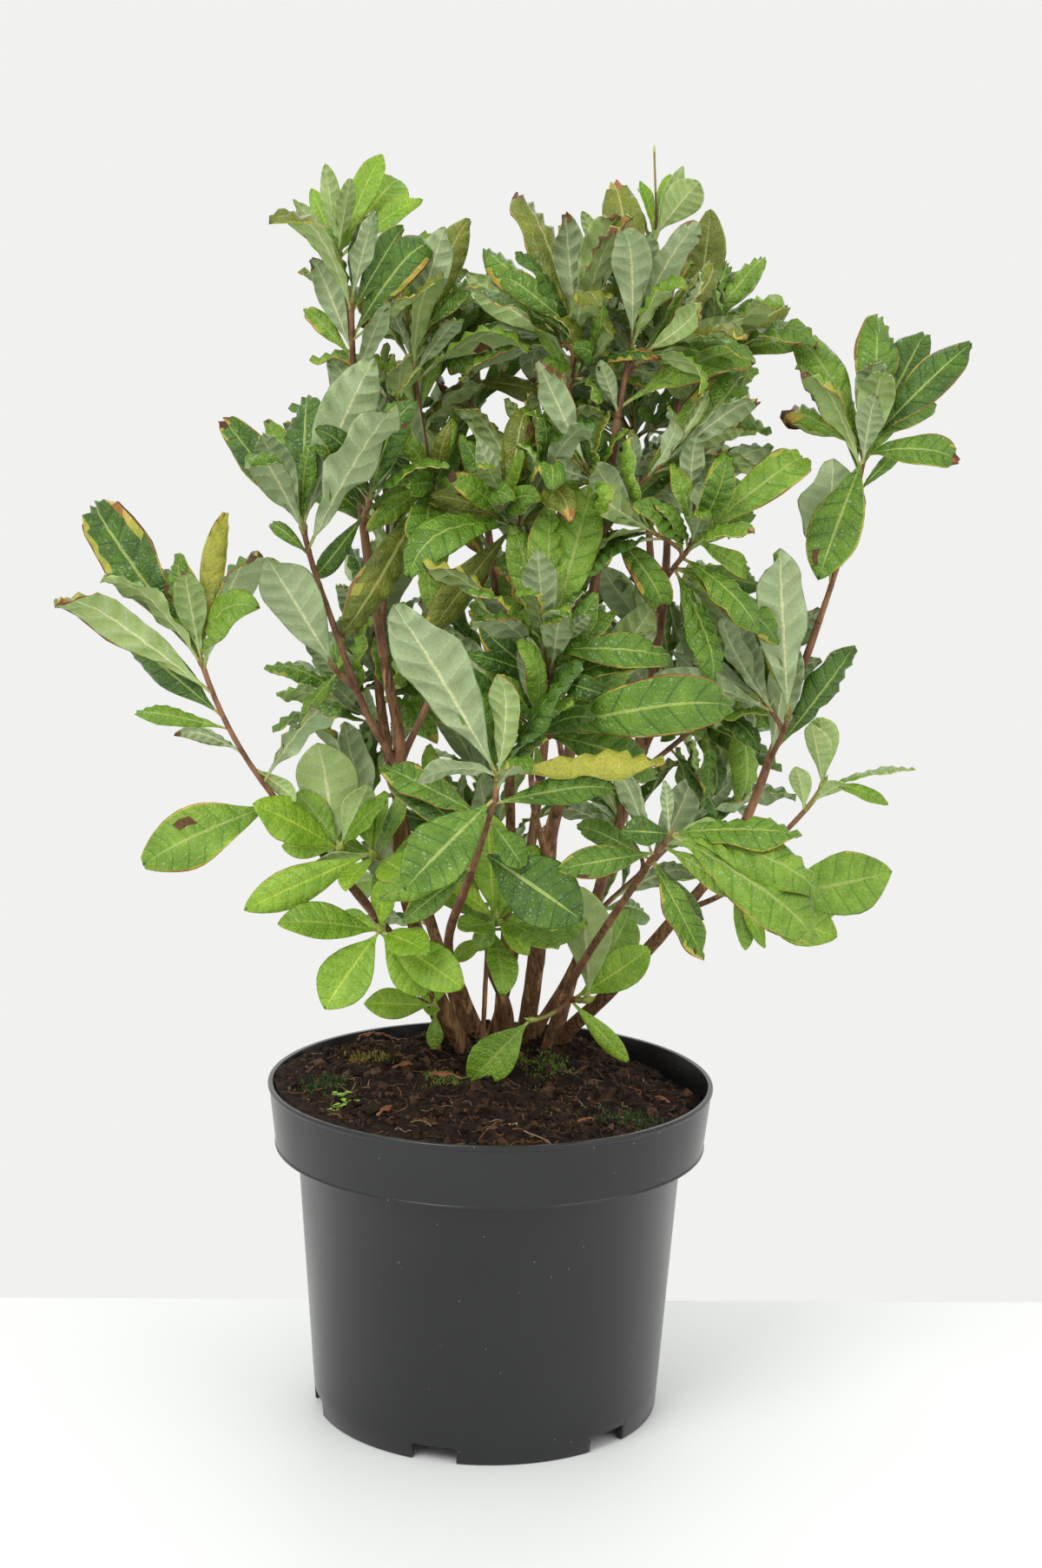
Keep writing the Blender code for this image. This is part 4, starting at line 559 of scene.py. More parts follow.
                (0.05, 6.5, 0.045, 30, TOP),
            ))]),
        Mass("foliage_right_front", "stem_right_front", 1.0, [
            Shoot((0.102, -0.092, 0.392), 12, 0.065, MATURE, None, (
                (0.95, 9.25, 0.030, 60, TOP, "wide"), (0.95, 11.75, 0.035, 15, UNDER, "thin"),
                (0.96, 4, 0.105, 45, TOP), (0.96, 3.5, 0.095, 40, TOP), (0.94, 2.75, 0.075, 40, TOP),
                (0.50, 4, 0.055, 45, TOP, "edged"), (0.55, 2.75, 0.040, 20, UNDER, "wide"),
                (0.10, 4.75, 0.055, 30, TOP), (0.05, 5, 0.065, 30, TOP), (0.15, 11.25, 0.070, 15, UNDER),
                (0.05, 9.75, 0.050, 30, TOP), (0.30, 8.75, 0.060, 30, TOP),
            ))]),
        Mass("foliage_low_right", "stem_right_front", 0.28, [
            Shoot((0.066, 0.012, 0.262), 5, 0.062, FRESH, None, (
                (0.20, 4.5, 0.055, 25, TOP, "thin"), (0.30, 1.75, 0.065, 15, TOP),
                (0.60, 1.25, 0.065, 15, TOP), (0.20, 11.75, 0.055, 20, TOP, "thin"),
                (0.90, 11.75, 0.080, 20, UNDER),
            )),
            Shoot((0.020, -0.006, 0.252), 1, 0.055, FRESH, (0, 0.15), (
                (0.90, 7.5, 0.054, 20, TOP, "wide"),
            ))]),
        Mass("foliage_front", "stem_front", 1.0, [
            Shoot((0.000, -0.090, 0.425), 14, 0.078, MATURE, None, (
                (0.96, 11, 0.125, 12, UNDER, "pale"), (0.75, 7.5, 0.075, 20, TOP, "wide"),
                (0.95, 8.75, 0.050, 80, UNDER, "pale"), (0.97, 2.75, 0.100, 70, TOP, "yellow"),
                (0.70, 2.5, 0.075, 20, TOP), (0.55, 9.75, 0.075, 20, TOP, "edged"),
                (0.25, 4, 0.070, 20, TOP, "wide"), (0.55, 4.75, 0.035, 25, TOP, "wide"),
                (0.05, 7.75, 0.055, 20, TOP), (0.05, 8.5, 0.060, 20, TOP),
                (0.25, 10.25, 0.075, 25, TOP, "narrow"),
            ))]),
        Mass("foliage_front_low", "stem_low_front", 1.0, [
            Shoot((0.002, -0.006, 0.322), 9, 0.056, FRESH, None, (
                (0.90, 7, 0.025, 30, TOP, "wide"), (0.85, 4.5, 0.030, 40, TOP),
                (0.50, 2.75, 0.060, 20, TOP), (0.30, 8, 0.030, 30, TOP),
            ))]),
        Mass("foliage_centre", "bough_centre_right", 0.17, [
            Shoot((0.027, -0.058, 0.495), 15, 0.080, MATURE, None, (
                (0.97, 11.75, 0.065, 15, UNDER, "pale"), (0.98, 0.5, 0.105, 20, TOP, "bright"),
                (0.98, 12, 0.090, 12, TOP, "bright"), (0.98, 11.5, 0.080, 12, TOP, "bright"),
                (0.98, 10.25, 0.095, 35, UNDER, "yellow"), (0.96, 3, 0.080, 85, TOP, "edged"),
                (0.97, 1.5, 0.035, 20, UNDER), (0.85, 10.25, 0.065, 30, TOP), (0.60, 1.25, 0.060, 30, TOP),
            ))]),
        Mass("foliage_centre_low", "bough_centre_left", 1.0, [
            Shoot((0.022, -0.066, 0.452), 13, 0.070, MATURE, None, (
                (0.97, 11.75, 0.055, 12, UNDER, "pale"), (0.96, 2, 0.070, 25, TOP, "edged"),
                (0.75, 2.5, 0.125, 40, TOP, "edged"), (0.60, 2.25, 0.050, 20, TOP),
                (0.70, 5.75, 0.035, 40, TOP, "withered"), (0.75, 3.5, 0.085, 40, TOP),
                (0.85, 10.75, 0.050, 25, TOP),
            ))]),
        Mass("foliage_low_left", "stem_left", 0.44, [
            Shoot((-0.072, -0.034, 0.318), 6, 0.055, FRESH, None, (
                (0.90, 7.25, 0.055, 20, TOP, "wide"), (0.95, 4.75, 0.050, 20, TOP, "wide"),
                (0.90, 4, 0.060, 20, TOP), (0.97, 9.75, 0.025, 30, TOP),
            ))]),
        Mass("foliage_left_low", "stem_left", 0.66, [
            Shoot((-0.078, -0.014, 0.362), 7, 0.055, FRESH, None, (
                (0.95, 8.25, 0.085, 20, TOP, "narrow"), (0.90, 8.5, 0.050, 30, UNDER),
                (0.90, 11.5, 0.030, 15, TOP), (0.50, 2.25, 0.040, 20, TOP),
            ))]),
        Mass("foliage_foot_left", "stem_low_left", 1.0, [
            Shoot((-0.036, 0.030, 0.255), 4, 0.030, FRESH, None, (
                (0.90, 9.25, 0.045, 15, TOP), (0.95, 0.5, 0.025, 20, TOP), (0.50, 6, 0.025, 20, TOP),
            ))]),
        Mass("foliage_back_left_top", "stem_back_left", 1.0, [
            Shoot((-0.076, 0.150, 0.604), 13, 0.082, MATURE)]),
        Mass("foliage_back_left", "stem_back_left", 0.52, [
            Shoot((-0.080, 0.200, 0.476), 13, 0.080, MATURE),
            Shoot((-0.098, 0.160, 0.436), 7, 0.060, MATURE, (0, 0.30))]),
        Mass("foliage_back_left_low", "stem_back_left", 0.24, [
            Shoot((-0.092, 0.176, 0.366), 11, 0.070, MATURE)]),
        Mass("foliage_back_middle", "stem_back", 0.52, [
            Shoot((0.032, 0.226, 0.530), 13, 0.082, MATURE)]),
        Mass("foliage_back_low", "stem_back", 0.25, [
            Shoot((-0.004, 0.222, 0.380), 12, 0.072, MATURE)]),
        Mass("foliage_back_right_top", "stem_back_right", 1.0, [
            Shoot((0.088, 0.146, 0.636), 13, 0.082, MATURE)]),
        Mass("foliage_back_right", "stem_back_right", 0.56, [
            Shoot((0.135, 0.192, 0.468), 13, 0.080, MATURE),
            Shoot((0.140, 0.136, 0.430), 10, 0.074, MATURE, (0, 0.30))]),
        Mass("foliage_back_right_low", "stem_back_right", 0.26, [
            Shoot((0.148, 0.186, 0.360), 11, 0.070, MATURE)]),
    ]


# Curves

def direction(heading, rise):
    """The direction with this heading and rise."""
    heading, rise = math.radians(heading), math.radians(rise)
    return Vector((math.cos(heading) * math.cos(rise), math.sin(heading) * math.cos(rise), math.sin(rise)))


def smooth_path(points, start, end):
    """Points along a smooth curve through the given ones, leaving along start and arriving along end."""
    last = len(points) - 1
    slopes = []
    for i, point in enumerate(points):
        if i == 0:
            slopes.append(start.normalized() * (points[1] - point).length)
        elif i == last:
            slopes.append(end.normalized() * (point - points[i - 1]).length)
        else:
            slopes.append((points[i + 1] - points[i - 1]) / 2)
    path = []
    for i in range(last):
        for step in range(CURVE_STEPS):
            t = step / CURVE_STEPS
            path.append(
                points[i] * (2 * t**3 - 3 * t**2 + 1) + slopes[i] * (t**3 - 2 * t**2 + t)
                + points[i + 1] * (3 * t**2 - 2 * t**3) + slopes[i + 1] * (t**3 - t**2)
            )
    return path + [points[last]]


def path_length(path):
    return sum((b - a).length for a, b in zip(path, path[1:]))


def on_path(path, distance):
    """The point at this distance along the path, and the path's direction there."""
    for a, b in zip(path, path[1:]):
        step = (b - a).length
        if distance <= step:
            return a + (b - a) * (max(distance, 0.0) / step), (b - a).normalized()
        distance -= step
    return path[-1].copy(), (path[-1] - path[-2]).normalized()


# Limbs and shoots: their paths and thickness

def limb_shape(limb, done):
    """The limb's path and its radius as a function of the distance along it."""
    base, tip = limb.width / 2, limb.tip_width / 2
    through = [Vector(p) for p in limb.through]
    swell, reach = ROOT_FLARE, FLARE_HEIGHT
    if limb.parent is None:
        foot = Vector((*limb.through[0], GROUND - SUNK))
        points, start = [foot, foot + UP * SUNK] + through[1:], UP
    else:
        path, parent_radius = done[limb.parent]
        distance = limb.at * path_length(path)
        point, along = on_path(path, distance)
        start = along if limb.at == 1.0 else (through[0] - point).normalized()
        points = [point - along * JOINT_OVERLAP if limb.at == 1.0 else point] + through
        swell, reach = max(parent_radius(distance) / base - 1, 0.0), COLLAR_REACH
        if limb.at < 1.0:
            swell, reach = CROTCH_SWELL, CROTCH_REACH
    path = smooth_path(points, start, points[-1] - points[-2])
    length = path_length(path)
    above = SUNK if limb.parent is None else 0.0

    def radius_at(distance):
        flare = swell * math.exp(-max(distance - above, 0.0) / reach)
        return (base + (tip - base) * distance / length) * (1 + flare)

    return path, radius_at


def shoot_path(start, heading, tip):
    """From start along heading, swinging up to the tip."""
    span = tip - start
    arrive = (span.normalized() + UP * TWIG_RISE).normalized()
    reach = span.length * TWIG_SWING
    path = []
    a, b, c, d = start, start + heading * reach, tip - arrive * reach, tip
    for step in range(CURVE_STEPS + 1):
        t = step / CURVE_STEPS
        path.append(a * (1 - t)**3 + b * 3 * t * (1 - t)**2 + c * 3 * t * t * (1 - t) + d * t**3)
    return path


def mass_paths(mass, limbs):
    """Each shoot's path, its radius at the start and its radius further on."""
    path, radius_at = limbs[mass.limb]
    distance = mass.at * path_length(path)
    point, along = on_path(path, distance)
    paths = []
    for shoot in mass.shoots:
        tip = Vector(shoot.tip)
        if shoot.off is None:
            heading = along if mass.at == 1.0 else (tip - point).normalized()
            first = radius_at(distance) if mass.at == 1.0 else TWIG_RADIUS * FIRST_TWIG_SWELL
            paths.append((shoot_path(point, heading, tip), first, TWIG_RADIUS))
        else:
            parent, place = shoot.off
            start, heading = on_path(paths[parent][0], place * path_length(paths[parent][0]))
            heading = (heading + (tip - start).normalized()).normalized()
            radius = SIDE_TWIG_RADIUS if shoot.leaves else SIDE_TWIG_RADIUS / 2
            paths.append((shoot_path(start, heading, tip), radius * FORK_SWELL, radius))
    return paths


def add_forks(mass, paths):
    """The mass and its paths with the finer side shoots that fork from its first shoot."""
    shoots = list(mass.shoots)
    for fork in range(FORKS.get(mass.name, 0)):
        leafy = [i for i, one in enumerate(mass.shoots) if one.leaves]
        parent = leafy[fork % len(leafy)]
        shoot, path = mass.shoots[parent], paths[parent][0]
        rng = random.Random(f"{mass.name} fork {fork}")
        place = rng.uniform(*FORK_PLACES)
        start, along = on_path(path, place * path_length(path))
        heading = whorl_turn(shoot) + fork * GOLDEN_TURN + rng.uniform(-FORK_WAVER, FORK_WAVER)
        tip = start + direction(heading, rng.uniform(*FORK_RISES)) * rng.uniform(*FORK_REACH)
        paths.append((shoot_path(start, along, tip), SIDE_TWIG_RADIUS * FORK_SWELL, SIDE_TWIG_RADIUS))
        length = shoot.length * FORK_LEAF_SIZE
        shoots.append(Shoot(tuple(tip), FORK_LEAVES, length, shoot.look, (parent, place)))
    return mass._replace(shoots=shoots)


def plain_tube(path, radius, sides=4):
    """A coarse tube, for telling whether a leaf has room."""
    length = path_length(path)
    points = []
    for step in range(TUBE_STEPS + 1):
        point, along = on_path(path, length * step / TUBE_STEPS)
        side = along.orthogonal().normalized()
        across = along.cross(side)
        for i in range(sides):
            turn = 2 * math.pi * i / sides
            points.append(point + (side * math.cos(turn) + across * math.sin(turn)) * radius)
    faces = []
    for ring in range(TUBE_STEPS):
        for i in range(sides):
            a, b = ring * sides + i, ring * sides + (i + 1) % sides
            faces.append((a, b, b + sides, a + sides))
    return points, faces


# Leaves: where they grow

def outline(place):
    """Half the leaf's width at this share of its length, as a share of the widest."""
    blade = (place - PETIOLE) / (1 - PETIOLE)
    if blade <= 0 or blade >= 1:
        return 0.0
    return math.sin(math.pi * blade**OUTLINE_SKEW) ** OUTLINE_FULLNESS


def spine(leaf, place):
    """The point, the direction and the upper side's normal at a share of the leaf's length."""
    bend = math.radians(max(leaf.bend, 1.0))
    lift = bend / 2
    out = leaf.chord * math.cos(lift) + leaf.up * math.sin(lift)
    down = leaf.chord * math.sin(lift) - leaf.up * math.cos(lift)
    turn = bend * place
    scale = leaf.length / bend
    point = leaf.base + (out * math.sin(turn) + down * (1 - math.cos(turn))) * scale
    along = out * math.cos(turn) + down * math.sin(turn)
    normal = out * math.sin(turn) - down * math.cos(turn)
    return point, along, normal


def leaf_room(leaf, start, clearance):
    """The room that a leaf takes up from this share of its length on."""
    points = []
    for place in (start, *LEAF_STATIONS):
        point, along, normal = spine(leaf, place)
        across = along.cross(normal)
        half = max(outline(place) * leaf.width * leaf.length / 2, PETIOLE_WIDTH / 2)
        fold = math.radians(leaf.fold)
        wide = across * (half * math.cos(fold) + clearance)
        edge = normal * half * math.sin(fold)
        high, low = normal * clearance, normal * (clearance + BLADE_THICKNESS)
        points += [point - wide + edge + high, point + wide + edge + high,
                   point + wide + edge - low, point - low, point - wide + edge - low]
    tip, along, _ = spine(leaf, 1.0)
    points.append(tip + along * clearance)
    faces = [(4, 3, 2, 1, 0)]
    for a in (0, 5):
        for i in range(5):
            j = (i + 1) % 5
            faces += [(a + i, a + j, a + 5 + j), (a + i, a + 5 + j, a + 5 + i)]
    faces += [(10 + i, 10 + (i + 1) % 5, 15) for i in range(5)]
    return points, faces


def make_leaf(base, hint, chord, length, look, bend, roll, mark, seed):
    """A leaf whose upper side is turned as near to the hint as its chord allows, then rolled."""
    up = hint - chord * hint.dot(chord)
    if up.length < ALONG_HINT:
        up = UP - chord * UP.dot(chord)
    up = Matrix.Rotation(math.radians(roll), 3, chord) @ up.normalized()
    width = MARK_WIDTHS.get(mark, look.width)
    return Leaf(base, chord, up, length, bend, width, look.fold, look, mark, seed)


def leading_leaf(shoot, path, index, seed, attempt):
    """One of the shoot's leading leaves, nudged further at each attempt, mostly in its lean.

    A steep leaf that shows its upper side leans away from the front and any other such leaf
    leans towards it; with leaves that spread or hang it is the other way round.
    """
    place, hour, seen_length, bend, side, *mark = shoot.leading[index]
    rng = random.Random(f"{seed} {attempt}")
    nudge = NUDGE * attempt
    length = path_length(path)
    base, axis = on_path(path, min(place * length, length - BUD_LENGTH * LEAF_SEAT))
    turn = math.radians(hour * HOUR + rng.uniform(-nudge, nudge) / 2)
    lean = math.radians(rng.uniform(LEANS[0] - attempt, LEANS[1] + attempt))
    lean *= -side if math.cos(turn) > STEEP else side
    roll = rng.uniform(-1, 1) * (LEAF_WAVER + nudge)
    seen = Vector((math.sin(turn), 0.0, math.cos(turn)))
    chord = seen * math.cos(lean) + FRONT * math.sin(lean)
    arc = math.radians(max(bend, 1.0)) / 2
    leaf_length = seen_length / math.cos(lean) * arc / math.sin(arc) * (1 - SHRINK / 2 * attempt)
    hint = axis * (1 - SHOWN) + FRONT * side * SHOWN
    mark = mark[0] if mark else ""
    return make_leaf(base, hint, chord, leaf_length, shoot.look, bend, roll, mark, seed)


def whorl_leaf(shoot, path, index, seed, attempt):
    """The shoot's next leaf by rule: each a golden turn on, opening wider down the shoot."""
    look = shoot.look
    rng = random.Random(f"{seed} {attempt}")
    total = round((shoot.leaves - len(shoot.leading)) * MORE_LEAVES) + 1
    share = index / max(total - 1, 1)
    down = WHORL_START + WHORL_STEP * min(index, WHORL_LEAVES)
    down += LOWER_LEAF_STEP * max(index - WHORL_LEAVES, 0)
    nudge = NUDGE * attempt
    length = path_length(path)
    base, axis = on_path(path, max(length - down, length * WHORL_LOWEST))
    side = UP.cross(axis) if abs(axis.z) < UPRIGHT else Vector((1, 0, 0))
    turn = whorl_turn(shoot) + GOLDEN_TURN * index + rng.uniform(-1, 1) * (LEAF_WAVER + 2 * nudge)
    out = Matrix.Rotation(math.radians(turn), 3, axis) @ side.normalized()
    opening = look.last_open + (look.first_open - look.last_open) * share**OPENING_CURVE
    opening = math.radians(max(LEAST_OPENING, opening + rng.uniform(-1, 1) * (LEAF_WAVER + nudge)))
    chord = (axis * math.cos(opening) + out * math.sin(opening)).normalized()
    leaf_length = shoot.length * LONGER * (1 + look.spread * rng.uniform(-WHORL_SPREAD, WHORL_SPREAD))
    grown = min(1.0, INNER_LEAF_GROWTH[0] + INNER_LEAF_GROWTH[1] * share)
    leaf_length *= INNER_LEAF_SIZE + (1 - INNER_LEAF_SIZE) * grown
    leaf_length *= 1 - SHRINK * attempt
    at_tip, at_foot, either_way = BEND_SHARES
    bend = look.bend * (at_tip + at_foot * share + either_way * rng.uniform(-1, 1))
    roll = rng.uniform(-1, 1) * (2 * LEAF_WAVER + nudge)
    return make_leaf(base, axis, chord, leaf_length, look, bend, roll, "", seed)


def whorl_turn(shoot):
    """A starting turn for the whorl, worked out from where the shoot stands."""
    return sum(place * turn for place, turn in zip(shoot.tip, WHORL_TURNS)) % 360


class Room:
    """What takes up space so far, for telling whether a leaf has room."""

    def __init__(self, most=3000):
        self.low = np.full((most, 3), FAR)
        self.high = np.full((most, 3), -FAR)
        self.owners = []
        self.trees = []

    def add(self, owner, points, faces):
        i = len(self.trees)
        corners = np.array(points)
        self.low[i], self.high[i] = corners.min(0), corners.max(0)
        self.owners.append(owner)
        self.trees.append(BVHTree.FromPolygons(points, faces))

    def free(self, owner, leaf):
        """Whether the leaf keeps clear of all but its own shoot's foot, and stays in the crown."""
        tests = {}
        own_start = min(OWN_SHOOT_REACH / leaf.length, OWN_SHOOT_SHARE)
        for own, start in ((False, 0.0), (True, own_start)):
            points, faces = leaf_room(leaf, start, CLEARANCE)
            corners = np.array(points)
            tests[own] = corners.min(0), corners.max(0), BVHTree.FromPolygons(points, faces)
        low, high, _ = tests[False]
        if (low < CROWN_LOW).any() or (high > CROWN_HIGH).any():
            return False
        near = np.nonzero(((self.low <= high) & (self.high >= low)).all(1))[0]
        return not any(self.trees[i].overlap(tests[self.owners[i] == owner][2]) for i in near)


def place_leaves(masses, paths, room):
    """Leaves for every mass in turn, leading leaves first, each kept only where it has room."""
    placed = {mass.name: [] for mass in masses}
    jobs = []
    for order, mass in enumerate(masses):
        for which, shoot in enumerate(mass.shoots):
            leading = len(shoot.leading)
            more = round(max(shoot.leaves - leading, 0) * MORE_LEAVES)
            jobs += [(0, i, order, which) for i in range(leading)]
            jobs += [(1, i, order, which) for i in range(more)]
    for kind, index, order, which in sorted(jobs):
        mass = masses[order]
        shoot, path = mass.shoots[which], paths[mass.name][which][0]
        rule = (leading_leaf, whorl_leaf)[kind]
        seed = f"{mass.name} {which} {kind} {index}"
        for attempt in range(TRIES):
            leaf = rule(shoot, path, index, seed, attempt)
            if room.free(mass.name, leaf):
                placed[mass.name].append(leaf)
                room.add(mass.name, *leaf_room(leaf, 0.0, 0.0))
                break
    return placed


# Leaves: their finer build

def row_places():
    """The places of the rows across a leaf, and each row's kind: stalk, vein or panel."""
    rows = [(place, "stalk") for place in STALK_PLACES]
    step = VEINED / (VEINS + LAST_PANEL)
    for i in range(VEINS):
        middle = STALK_PLACES[-1] + step * (i + VEIN_SEAT)
        rows += [(middle - VEIN_HALF, "vein"), (middle + VEIN_HALF, "vein"), (middle + step / 2, "panel")]
    return rows


ROWS = row_places()
PLACES = np.array([place for place, _ in ROWS])
IS_VEIN = np.array([kind == "vein" for _, kind in ROWS])
IS_PANEL = np.array([kind == "panel" for _, kind in ROWS])
ACROSS = np.array(COLUMNS)
IS_RIB = np.abs(ACROSS) < RIB_COLUMN
STRIP_KINDS = ("margin", "outer", "middle", "inner", "rib", "inner", "middle", "outer", "margin")


def leaf_faces():
    """The faces of any leaf over its points, with each face's side, row and strip."""
    rows, wide = len(ROWS), len(COLUMNS)
    top = np.arange(rows * wide).reshape(rows, wide)
    under = top.copy()
    under[:, 1:-1] = rows * wide + np.arange(rows * (wide - 2)).reshape(rows, wide - 2)
    tip = rows * wide + rows * (wide - 2)
    faces, places = [], []
    for r in range(rows - 1):
        for c in range(wide - 1):
            faces.append((top[r, c], top[r, c + 1], top[r + 1, c + 1], top[r + 1, c]))
            faces.append((under[r, c], under[r + 1, c], under[r + 1, c + 1], under[r, c + 1]))
            places += [(0, r, c), (1, r, c)]
    for c in range(wide - 1):
        faces.append((top[-1, c], top[-1, c + 1], tip))
        faces.append((under[-1, c + 1], under[-1, c], tip))
        places += [(0, rows - 1, c), (1, rows - 1, c)]
        cap = [top[0, c + 1], top[0, c], under[0, c], under[0, c + 1]]
        faces.append(tuple(dict.fromkeys(cap)))
        places.append((1, 0, c))
    return [tuple(int(i) for i in face) for face in faces], places


def by_row(panel, vein, stalk):
    """One of three values for each row of a leaf, by its kind."""
    return np.where(IS_PANEL, panel, np.where(IS_VEIN, vein, stalk))


def travelled(turns):
    """How far ahead and how far aside a strip of unit length gets whose direction turns so."""
    middle = (turns[1:] + turns[:-1]) / 2
    return [np.concatenate([[0], np.cumsum(wave(middle))]) / len(middle) for wave in (np.cos, np.sin)]


def leaf_frame(leaf, traits, place):
    """The middle, the sideways direction and the upper normal at these places of a curled leaf."""
    fine = np.linspace(0, 1, SPINE_STEPS + 1)
    bend = math.radians(max(leaf.bend, 1.0))
    curl = np.clip((fine - CURL_START) / (1 - CURL_START), 0, 1) ** CURL_CURVE
    turn = bend * fine + traits["curl"] * curl
    ahead, down = travelled(turn)
    lift = math.atan2(np.interp(BALANCE, fine, down), np.interp(BALANCE, fine, ahead)) + bend * BEND_LIFT
    chord, up = np.array(leaf.chord), np.array(leaf.up)
    out_way = chord * math.cos(lift) + up * math.sin(lift)
    down_way = chord * math.sin(lift) - up * math.cos(lift)

    a, b, t = (np.interp(place, fine, values)[..., None] for values in (ahead, down, turn))
    middle = np.array(leaf.base) + (out_way * a + down_way * b) * leaf.length
    along = out_way * np.cos(t) + down_way * np.sin(t)
    normal = out_way * np.sin(t) - down_way * np.cos(t)
    across = np.cross(along, normal)
    twist = (traits["twist"] * place)[..., None]
    turned = across * np.cos(twist) + normal * np.sin(twist)
    return middle, turned, normal * np.cos(twist) - across * np.sin(twist)


def leaf_top(leaf, traits, place, in_blade, slim):
    """How far aside and how high each point of the upper side lies: quilted, waved, with rolled edges."""
    blade = np.clip((place - PETIOLE) / (1 - PETIOLE), 0, 1)
    half = np.sin(np.pi * blade**OUTLINE_SKEW) ** OUTLINE_FULLNESS * leaf.width * leaf.length / 2
    scallop = 1 + traits["scallop"] * by_row(*SCALLOPS)
    half = np.maximum(half * scallop[:, None], PETIOLE_WIDTH / 2)

    steps = np.linspace(0, 1, ROLL_STEPS + 1)
    out, rise = travelled(math.radians(leaf.fold) - traits["roll"] * steps**ROLL_CURVE)
    sideways = np.sign(ACROSS) * np.interp(np.abs(ACROSS), steps, out) * slim
    upwards = np.interp(np.abs(ACROSS), steps, rise)

    quilt = np.interp(np.abs(ACROSS), QUILT_COLUMNS, QUILT_HEIGHTS)
    bulge = by_row(*BULGES)[:, None] * in_blade
    relief = quilt * bulge * QUILTING * leaf.length * traits["quilt"]
    beat = place * traits["waves"] + traits["phase"] * np.sign(ACROSS)
    wave = traits["wave"] * np.sin(2 * np.pi * beat) * ACROSS**2
    return half * sideways, half * upwards * in_blade + relief + wave * leaf.length * in_blade


def leaf_points(leaf, traits):
    """The points of one leaf: its side veins are sunk on top, and stand out below with the midrib."""
    reach = np.clip((PLACES - PETIOLE) / (1 - PETIOLE), 0, 1)[:, None]
    sweep = VEIN_SWEEP * np.sin(np.pi * reach) ** SWEEP_CURVE
    place = np.minimum(PLACES[:, None] + sweep * np.abs(ACROSS), LAST_PLACE)
    in_blade = np.minimum(reach * BLADE_START, 1)
    middle, across, normal = leaf_frame(leaf, traits, place)
    slim = np.where(IS_RIB, 1 - RIB_TAPER * reach, 1.0)
    sideways, height = leaf_top(leaf, traits, place, in_blade, slim)
    top = middle + across * sideways[..., None] + normal * height[..., None]

    rib = np.where(IS_RIB, RIB_DEPTH, 0.0) * (RIB_FOOT - reach)
    veins = IS_VEIN[:, None] * ~IS_RIB * VEIN_DEPTH
    stalk = (PETIOLE_DEPTH - BLADE_THICKNESS) * (1 - in_blade) * np.sqrt(1 - ACROSS**2)
    depth = BLADE_THICKNESS + rib * in_blade + veins + stalk
    under = top - normal * depth[..., None]
    tip, _, _ = leaf_frame(leaf, traits, np.ones(1))
    return np.concatenate([top.reshape(-1, 3), under[:, 1:-1].reshape(-1, 3), tip])


LEAF_SKINS = {
    "deep": ("upper_deep", "#466620", "#5e8428", 0.28, 0.6),
    "mid": ("upper_mid", "#5c8124", "#769b30", 0.28, 0.6),
    "light": ("upper_light", "#72962a", "#8eb03a", 0.31, 0.55),
    "fresh": ("upper_fresh", "#7ea526", "#9bbe3a", 0.36, 0.4),
    "young": ("upper_young", "#a4c038", "#c2d254", 0.38, 0.3),
    "turning": ("edge_turning", "#a4a63a", "#bcb648", 0.45, 0.4),
    "yellow": ("edge_yellow", "#c2a046", "#ccb054", 0.48, 0.30),
    "amber": ("edge_amber", "#a8733a", "#966532", 0.52, 0.30),
    "red": ("edge_red", "#8a4a30", "#72402c", 0.55, 0.30),
    "brown": ("edge_withered", "#6b4a30", "#523826", 0.72, 0.60, 130.0),
    "under_grey": ("under_grey", "#9eb280", "#adbe90", 0.62, 0.12, 55.0, "#f2f4ee"),
    "under_green": ("under_green", "#9fb66c", "#b0c67e", 0.64, 0.12, 55.0, "#f2f4ee"),
    "under_young": ("under_young", "#a9bd68", "#bbcb7c", 0.66, 0.10, 55.0, "#f2f4ee"),
    "rib": ("rib", "#d4d6a2", "#dfdfb0", 0.50, 0.05),
    "stalk": ("stalk", "#a8b068", "#b8a865", 0.50, 0.10),
    "under_vein": ("under_vein", "#aabc8e", "#b6c69c", 0.62, 0.10),
    "under_dry": ("under_dry", "#a5814f", "#8d6a45", 0.78, 0.50, 120.0),
    "rib_green": ("rib_green", "#93a850", "#a6b560", 0.45, 0.10),
    "spot": ("dead_spot", "#5a3d28", "#77532f", 0.80, 0.40, 200.0),
    "olive": ("upper_olive", "#6c7624", "#899032", 0.34, 0.5),
    # The upper side's sunk veins, each a darker copy of its leaf tone: painted shade in the crease.
    "vein_deep": ("vein_deep", "#314d1c", "#3e5e24", 0.42, 0.3),
    "vein_mid": ("vein_mid", "#42661f", "#507828", 0.42, 0.3),
    "vein_light": ("vein_light", "#567e20", "#6c992e", 0.42, 0.3),
    "vein_fresh": ("vein_fresh", "#709826", "#86ac36", 0.42, 0.3),
}  # each slot's finish: its name, two colours, roughness, the veinlets' relief, blotches, and the shade colour that is painted into the veinlets' creases
SLOT = {name: i for i, name in enumerate(LEAF_SKINS)}
TONES = ("deep", "mid", "light", "fresh", "young", "olive")
RIB_TONE = {"deep": "rib_green", "mid": "rib_green", "light": "rib_green", "olive": "stalk",
            "fresh": "young", "young": "rib"}
# For each tone, the finish of the upper side's sunk veins. On the green tones it is a darker copy, painted
# shade in the crease; on young leaves it is a paler yellow, their own colour.
VEIN_SHADE_AND_TONE = {"deep": "vein_deep", "mid": "vein_mid", "light": "vein_light", "fresh": "vein_fresh",
             "young": "turning"}
UNDERS = {"deep": "under_grey", "mid": "under_grey", "light": "under_green", "fresh": "under_green",
          "young": "under_young"}

